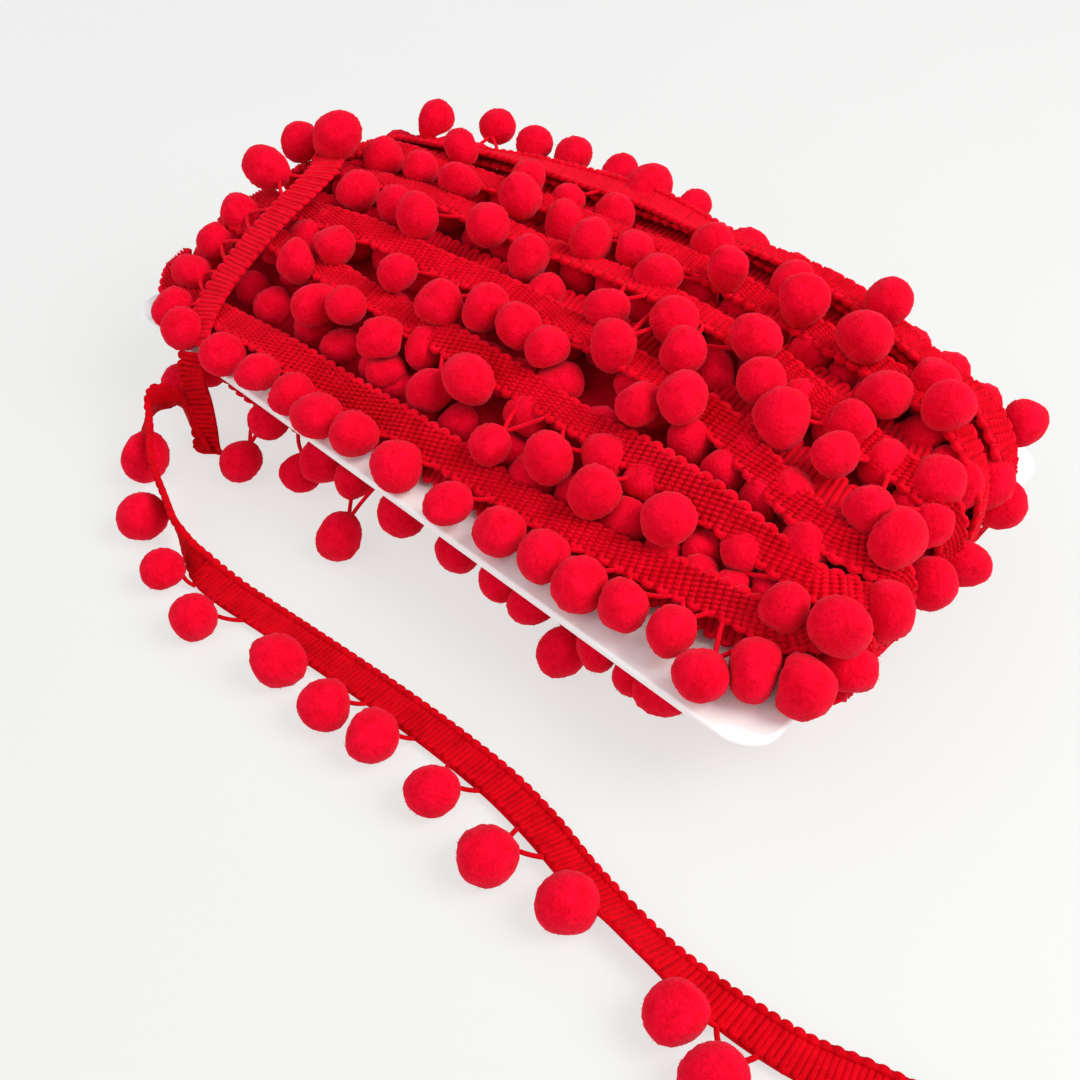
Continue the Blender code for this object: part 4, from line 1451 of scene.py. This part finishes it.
    def lower_route(self, row: Lower, rng: Rng) -> Route:
        """The route of a lower turn, between two outer ones: above and below are blended at the ends.

        Args:
            row: The lower turn.
            rng: The source of its unevenness.

        Returns:
            Its route, short of the ends by end_trim.
        """
        angle = self.form.angles(LOWER_POINTS)
        x = self.form.xz(angle, 0.0 * angle, 0.0)[0]
        near, far = TURNS[row.near], TURNS[row.near + 1]
        share = row.share + wander(x, *self.share_wander, rng)
        above = self.form.turn_y(near, x) * (1 - share) + self.form.turn_y(far, x) * share
        below = (near.under * (1 - share) + far.under * share) * self.form.end_pull(x)
        blend = np.clip(0.5 + np.sin(angle) * 2, 0.0, 1.0)
        route = self.form.route(angle, above * blend + below * (1 - blend), row.inset)
        end = route.length() if row.around else float(route.along()[len(angle) // 2]) - self.end_trim
        return route.part(self.end_trim, end - self.end_trim)

    def build_lower(self) -> list[Pompom]:
        """Builds the lower turns that show between the outer ones, but not yet their pompoms.

        Returns:
            The pompoms.
        """
        rng = np.random.default_rng((LOOKS_SEED, LOWER_LOOKS))
        braid = Surfaces()
        balls: list[Pompom] = []
        for row in LOWERS:
            route = self.lower_route(row, rng)
            if row.braid:
                Braid(route, rng).cover(braid, Side.HIDDEN)
            s = np.zeros(0)
            if row.spacing:
                s = np.arange(self.row_trim, route.length() - self.row_trim, row.spacing)
            s = s + rng.normal(0.0, self.row_uneven, len(s))
            reach = row.reach + rng.normal(0.0, self.reach_uneven, len(s))
            centres = route.place(s, reach, rng.uniform(*self.row_sunk, len(s)))
            for centre, root in zip(centres, route.place(s, np.sign(reach) * LOWER_ROOT, ROOT_HEIGHT)):
                if centre[0] > LOWER_END and centre[1] > 0.0:
                    continue
                radius = POMPOM_RADIUS * rng.uniform(*POMPOM_SPREAD)
                balls.append(Pompom(self.settle(*centre.tolist(), radius), radius, root))
        braid.piece("lower_turns", self.dyes.cord, "trim")
        return balls

    def build(self) -> None:
        """Builds the whole winding."""
        self.build_core()
        lower = self.build_lower()
        places = np.random.default_rng(SEED)
        looks = np.random.default_rng((LOOKS_SEED, POMPOM_LOOKS))
        threads = Surfaces()
        fine: list[Pompom] = []
        hidden: list[Pompom] = []
        for index, turn in enumerate(TURNS):
            route = self.build_turn(index)
            top, under = self.top_pompoms(turn, places), self.under_pompoms(index, places)
            for way in (-1.0, 1.0):
                chosen = [ball for ball, (_, reach) in zip(top, turn.pompoms)
                          if reach * way >= ON_BRAID_REACH]
                FINE_POMPOMS.threads(chosen, route, way * THREAD_EDGE, looks, threads)
            FINE_POMPOMS.threads(under, route, turn.side_under * THREAD_EDGE, looks, threads)
            fine += top
            if turn.name == "third":
                fine += hung(BETWEEN_POMPOMS, route, -THREAD_EDGE)
            if turn.name == "front":
                below = route.part(*FRONT_BELOW)
                low = hung(HANGING_POMPOMS, below, -THREAD_EDGE)
                FINE_POMPOMS.threads(low, below, -THREAD_EDGE, looks, threads)
                fine += under + low + hung(RIGHT_END_POMPOMS, route, -THREAD_EDGE)
            elif turn.name == "back":
                fine += under
            else:
                hidden += under
        last = Route.through(LAST_TURN, self.last_step)
        surfaces = Surfaces()
        Braid(last, looks).cover(surfaces, Side.BACK)
        surfaces.piece("turn_last", self.dyes.cord, "trim")
        edge = hung(LAST_TURN_POMPOMS, last, THREAD_EDGE)
        FINE_POMPOMS.threads(edge, last, SMOOTH_EDGE, looks, threads)
        fine += edge
        threads.piece("pompom_threads", self.dyes.cord, "trim")
        crowd = fine + lower + hidden
        felt, pile, dim = Surfaces(), Surfaces(), Surfaces()
        FINE_POMPOMS.build(fine, crowd, looks, felt, pile)
        LOWER_POMPOMS.build(lower, crowd, looks, dim)
        HIDDEN_POMPOMS.build(hidden, crowd, looks, dim)
        for name, surfaces in (("pompoms", felt), ("pompoms_below", dim), ("pompom_pile", pile)):
            surfaces.piece(name, self.dyes.felt, "trim")


@dataclass
class LooseEnd:
    """The loose end of the trim: it hangs from the last turn, folds on the table and runs along it."""

    dyes: Dyes
    step: float = 0.4
    smooth_from: float = 40.0
    pompoms_from: float = 30.0
    knob_edge: float = -3.1
    path_points: int = 300

    def build(self) -> None:
        rng = np.random.default_rng((LOOKS_SEED, LOOSE_LOOKS))
        route = Route.through(LOOSE_HANG + LOOSE_FOLD + LOOSE_RUN, self.step)
        surfaces = Surfaces()
        Braid(route, rng, high=self.smooth_from).weft(surfaces, Side.BACK)
        Braid(route, rng, self.smooth_from).weft(surfaces, Side.FLAT)
        Braid(route, rng, self.smooth_from).knobs(surfaces, self.knob_edge)
        Braid(route, rng).backing(surfaces)
        # The loose end's braid and threads take the cord's darker copy, painted shade.
        braid = surfaces.piece("loose_braid", self.dyes.loose, "trim")
        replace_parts(braid, "tail")
        run = route.part(self.pompoms_from, route.length())
        balls = hung(LOOSE_POMPOMS, run, THREAD_EDGE)
        felt, pile, threads = Surfaces(), Surfaces(), Surfaces()
        FINE_POMPOMS.build(balls, balls, rng, felt, pile)
        FINE_POMPOMS.threads(balls, run, SMOOTH_EDGE, rng, threads)
        on_it = [felt.piece("loose_pompoms", self.dyes.felt, "trim"),
                 pile.piece("loose_pile", self.dyes.felt, "trim"),
                 threads.piece("loose_threads", self.dyes.loose, "trim")]
        path = route.place(np.linspace(0.0, route.length(), self.path_points), 0.0, MID_HEIGHT) * MM


@dataclass(frozen=True)
class Lamp:
    """A square soft light: where it stands and its side, in metres, its watts and its colour."""

    name: str
    at: Triple
    size: float
    power: float
    colour: Triple

    def build(self) -> None:
        """Puts it up, turned to face the roll: its -Z goes down the way to the origin."""
        data = bpy.data.lights.new(self.name, "AREA")
        data.shape = "SQUARE"
        data.size, data.energy, data.color = self.size, self.power, self.colour
        thing = placed(self.name, data)
        thing.location = self.at
        x, y, z = self.at
        thing.rotation_euler = (np.arctan2(np.hypot(x, y), z), 0.0, np.arctan2(x, -y))


@dataclass(frozen=True)
class Studio:
    """The floor, the lights, the pale surround and the camera."""

    camera_at: Triple = (0.131, -0.149, 0.168)
    camera_pitch: float = 45.0
    camera_azimuth: float = 42.2
    lens: float = 36.0
    sensor: float = 36.0
    clip_start: float = 0.01
    floor_reach: float = 6.0
    lamps: tuple[Lamp, ...] = (Lamp("window_light", (0.48, 0.20, 0.55), 0.45, 5.4, (1.0, 0.985, 0.96)),
                               Lamp("room_light", (-0.2, -0.95, 0.75), 1.2, 4.6, (0.97, 0.99, 1.0)))
    surround: tuple[float, float, float, float] = (0.95, 0.97, 1.0, 1.0)
    surround_strength: float = 0.66

    def camera(self) -> None:
        """Puts up the camera."""
        data = bpy.data.cameras.new("camera")
        data.lens, data.sensor_width, data.clip_start = self.lens, self.sensor, self.clip_start
        thing = placed("camera", data)
        thing.location = self.camera_at
        thing.rotation_euler = (np.radians(self.camera_pitch), 0.0, np.radians(self.camera_azimuth))
        bpy.context.scene.camera = thing

    def build(self) -> None:
        """Makes the floor, the lights and the surround."""
        mesh = bpy.data.meshes.new("floor")
        far = self.floor_reach
        mesh.from_pydata([(-far, -far, 0.0), (far, -far, 0.0), (far, far, 0.0), (-far, far, 0.0)], [],
                         [(0, 1, 2, 3)])
        mesh.materials.append(FloorFinish().material())
        placed("floor", mesh)
        for lamp in self.lamps:
            lamp.build()
        world = bpy.data.worlds.new("surround")
        world.use_nodes = True
        tree = world.node_tree
        Graph(tree).wire(tree.nodes["Background"], Color=self.surround, Strength=self.surround_strength)
        bpy.context.scene.world = world
        bpy.context.scene.view_settings.view_transform = "Standard"


def main() -> None:
    """Builds the studio, the card, the winding and the loose end, in that order."""
    logging.basicConfig(level=logging.INFO, format="%(message)s")
    studio = Studio()
    studio.camera()
    dyes = Dyes.mixed()
    LooseEnd(dyes).build()
    card = Card()
    card.build(CardFinish().material())
    Winding(WoundForm(), card, dyes).build()
    studio.build()


if __name__ == "__main__":
    main()
